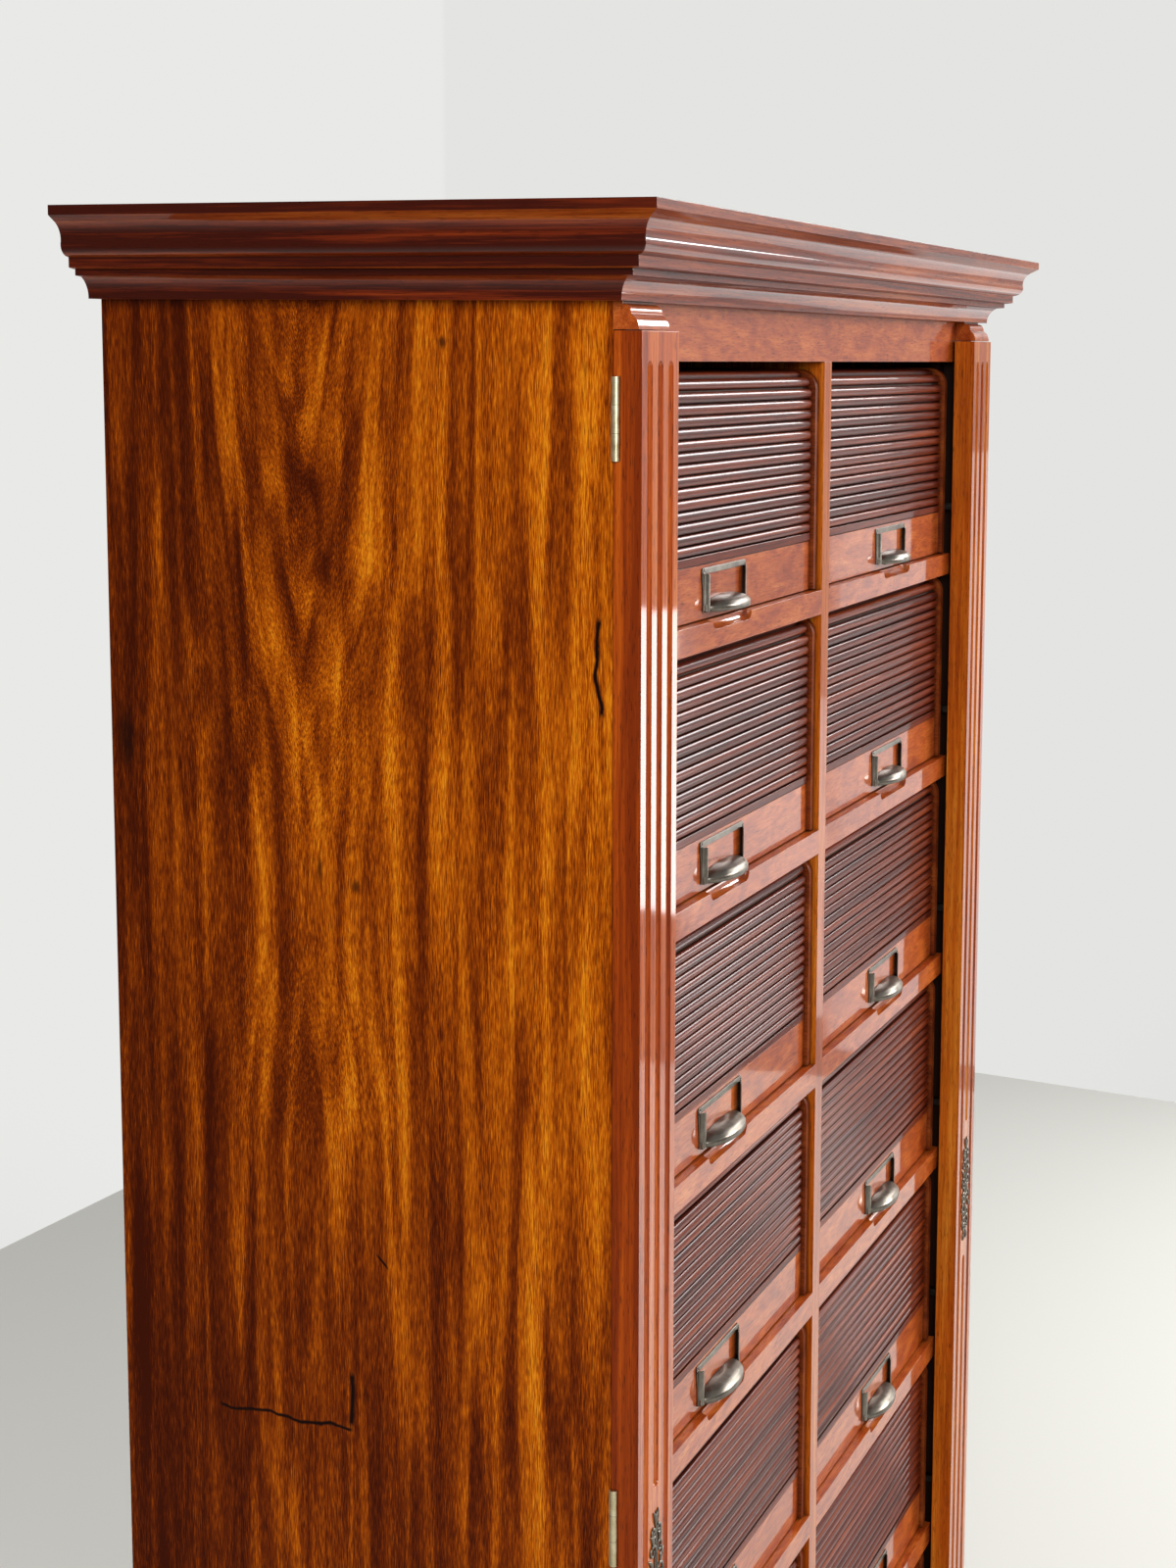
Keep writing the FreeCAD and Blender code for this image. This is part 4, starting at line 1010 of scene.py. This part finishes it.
def escutcheonStrokes():
    # Each stroke is a list of (x, z, swell) that a round bar of metal follows.
    form = escutcheon
    strokes = []
    for sign in (-1, 1):
        for x, z, radius, first, turns in form["scrolls"]:
            stroke = []
            for i in range(form["scrollSteps"] + 1):
                part = i / form["scrollSteps"]
                angle = math.radians(first + 360 * turns * part)
                reach = radius * (1 - form["scrollClose"] * part)
                swell = 1.0 - form["scrollThin"] * part
                stroke.append((sign * (x + reach * math.cos(angle)), z + reach * math.sin(angle), swell))
            strokes.append(stroke)
        tipSwell, gain, fullness = form["leafSwell"]
        for x, z, lean in form["leaves"]:
            stroke = []
            angle = math.radians(lean)
            upward = 1 if z > 0 else -1
            for i in range(form["leafSteps"] + 1):
                part = i / form["leafSteps"]
                along = (part - 0.5) * form["leafLength"]
                bow = form["leafBow"] * math.sin(math.pi * part)
                stroke.append((
                    sign * (x + along * math.cos(angle) - bow * math.sin(angle)),
                    z + along * math.sin(angle) + bow * math.cos(angle) * upward,
                    tipSwell + gain * math.sin(math.pi * part) ** fullness,
                ))
            strokes.append(stroke)
        count = form["spineCount"]
        middleSwell, loss = form["spineSwell"]
        spine = []
        for i in range(-count, count + 1):
            x = form["spineX"] * (1 - abs(i) / count)
            spine.append((sign * x, i * form["spineStep"], middleSwell - loss * abs(i)))
        strokes.append(spine)
    ring = []
    for i in range(form["keyRingSteps"] + 1):
        angle = 2 * math.pi * i / form["keyRingSteps"]
        x = form["keyRing"] * math.cos(angle)
        z = form["keyRing"] * form["keyRingRise"] * math.sin(angle)
        ring.append((x, z, form["keyRingSwell"]))
    strokes.append(ring)
    return strokes


def buildEscutcheon(bm):
    for stroke in escutcheonStrokes():
        rings = []
        for index, (x, z, swell) in enumerate(stroke):
            before, after = stroke[max(index - 1, 0)], stroke[min(index + 1, len(stroke) - 1)]
            heading = math.atan2(after[1] - before[1], after[0] - before[0])
            radius = escutcheon["stemRadius"] * swell
            ring = []
            for i in range(escutcheon["barSides"]):
                angle = 2 * math.pi * i / escutcheon["barSides"]
                across = radius * math.cos(angle)
                y = -escutcheon["lift"] - radius * escutcheon["flatness"] * math.sin(angle)
                ring.append((x - across * math.sin(heading), y, z + across * math.cos(heading)))
            rings.append(addPoints(bm, ring))
        joinRings(bm, rings)
        bm.faces.new(rings[0])
        bm.faces.new(list(reversed(rings[-1])))


scrollMesh = meshFromBuild("escutcheonScrolls", buildEscutcheon, 60)
for side in ("left", "right"):
    low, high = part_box("escutcheon_" + side)
    middle = Vector(((low.x + high.x) / 2, high.y, (low.z + high.z) / 2))
    scrolls = pieceFromMesh("escutcheonScrolls_" + side, scrollMesh, "pilaster_" + side, [metals["wornNickel"]], middle)
    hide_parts("escutcheon_" + side)
print("escutcheons built")


# Stage, lights and camera

stage = {
    "floorColour": "#dcdbd5",
    "wallColour": "#e4e4e2",
    # Where floor meets walls, and the near edges of the floor, in metres.
    "floorOutline": [(-9.0, -9.0), (2.326, -9.0), (3.319, 1.792), (-9.0, 2.654)],
    "paleWay": (0.89, 0.42, -0.04),  # toward the middle of the pale walls
    "paleFrom": 0.78,           # cosine of the angle to it, from the dim room to the pale walls
    "paleTo": 0.93,
    "roomLight": 0.40,
    "cornerAngle": 0.489,       # where the two pale walls meet, round from +X
    "cornerSoftness": 0.001,
    "leftWallColour": "#e9e9e7",
}


def stageSheet(name, corners, material):
    mesh = bpy.data.meshes.new(name)
    mesh.from_pydata(corners, [], [range(len(corners))])
    mesh.materials.append(material)
    sheet = bpy.data.objects.new(name, mesh)
    bpy.context.collection.objects.link(sheet)


# Pale painted boards, matt.
floorPaint, _, floorShader = newMaterial("floorPaint")
floorShader.inputs["Base Color"].default_value = hexToLinear(stage["floorColour"])
floorShader.inputs["Roughness"].default_value = 0.8
stageSheet("floor", [(x, y, 0) for x, y in stage["floorOutline"]], floorPaint)

# The room: pale walls beyond the cabinet's right back corner, and softer light from the rest.
world = bpy.data.worlds.new("room")
bpy.context.scene.world = world
world.use_nodes = True
worldTree = world.node_tree
way = addNode(worldTree, "TexCoord").outputs["Generated"]
paleness = addNode(worldTree, "VectorMath", {0: way, 1: stage["paleWay"]}, operation="DOT_PRODUCT").outputs["Value"]
roomToWalls = {"From Min": stage["paleFrom"], "From Max": stage["paleTo"], "To Min": stage["roomLight"]}
strength = addNode(worldTree, "MapRange", {"Value": paleness, **roomToWalls}, interpolation_type="SMOOTHSTEP")
flat = addNode(worldTree, "SeparateXYZ", {0: way}).outputs
angle = addNode(worldTree, "Math", {0: flat["Y"], 1: flat["X"]}, operation="ARCTAN2").outputs[0]
meeting, soft = stage["cornerAngle"], stage["cornerSoftness"]
leftOf = addNode(worldTree, "MapRange", {"Value": angle, "From Min": meeting - soft, "From Max": meeting + soft})
wallColours = {6: hexToLinear(stage["wallColour"]), 7: hexToLinear(stage["leftWallColour"])}
walls = addNode(worldTree, "Mix", {0: leftOf.outputs["Result"], **wallColours}, data_type="RGBA")
background = worldTree.nodes["Background"]
worldTree.links.new(strength.outputs["Result"], background.inputs["Strength"])
worldTree.links.new(walls.outputs[2], background.inputs["Color"])

# Name: place, what it points at, size, and power in watts.
lamps = {
    "frontWindow": ((2.5, -2.6, 2.1), (0.0, -0.15, 1.0), (1.1, 1.1), 110.0),
    "sideWindow": ((-2.9, -1.5, 2.4), (-0.4, -0.1, 1.2), (1.3, 1.3), 76.0),
    "highWindow": ((3.2, -1.3, 2.7), (0.0, -0.2, 1.3), (1.4, 0.75), 44.0),
    "brightWall": ((3.25, -0.72, 0.7), (0.0, -0.72, 0.7), (1.0, 1.4), 3.4),
    "lowGlow": ((3.25, -1.42, 0.45), (0.0, -1.42, 0.45), (0.37, 0.75), 0.9),
    "gardenDoor": ((3.25, -1.79, 0.65), (0.0, -1.79, 0.65), (0.33, 0.72), 4.3),
}
for lampName, (place, target, size, power) in lamps.items():
    lampData = bpy.data.lights.new(lampName, "AREA")
    lampData.shape = "RECTANGLE"
    lampData.size, lampData.size_y = size
    lampData.energy = power
    lamp = bpy.data.objects.new(lampName, lampData)
    bpy.context.collection.objects.link(lamp)
    lamp.location = place
    lamp.rotation_mode = "QUATERNION"
    lamp.rotation_quaternion = (Vector(target) - Vector(place)).to_track_quat("-Z", "Y")
    lamp.visible_camera = False

# The photograph's view: the eye just above the frieze, looking along the front from the left.
view = {
    "eye": (-1687.7, -722.6, 1610.9),
    "yaw": 1.227,
    "pitch": -0.122,
    "roll": 0.011,
    "focalPx": 2340.4,
    "principalPx": (796.4, 647.6),
    "framePx": (1200, 1600),
}
forward = Vector((
    math.sin(view["yaw"]) * math.cos(view["pitch"]),
    math.cos(view["yaw"]) * math.cos(view["pitch"]),
    math.sin(view["pitch"]),
))
levelRight = forward.cross(Vector((0, 0, 1))).normalized()
levelUp = levelRight.cross(forward)
right = levelRight * math.cos(view["roll"]) + levelUp * math.sin(view["roll"])
up = levelUp * math.cos(view["roll"]) - levelRight * math.sin(view["roll"])
cameraData = bpy.data.cameras.new("photoView")
camera = bpy.data.objects.new("photoView", cameraData)
bpy.context.collection.objects.link(camera)
turned = Matrix((right, up, -forward)).transposed().to_4x4()
camera.matrix_world = Matrix.Translation(Vector(view["eye"]) * mm) @ turned
cameraData.lens = view["focalPx"] * cameraData.sensor_width / view["framePx"][1]
cameraData.shift_x = (view["framePx"][0] / 2 - view["principalPx"][0]) / view["framePx"][1]
cameraData.shift_y = (view["principalPx"][1] - view["framePx"][1] / 2) / view["framePx"][1]
cameraData.clip_start, cameraData.clip_end = 0.05, 50
bpy.context.scene.camera = camera
bpy.context.scene.view_settings.view_transform = "Standard"

print("scene ready")
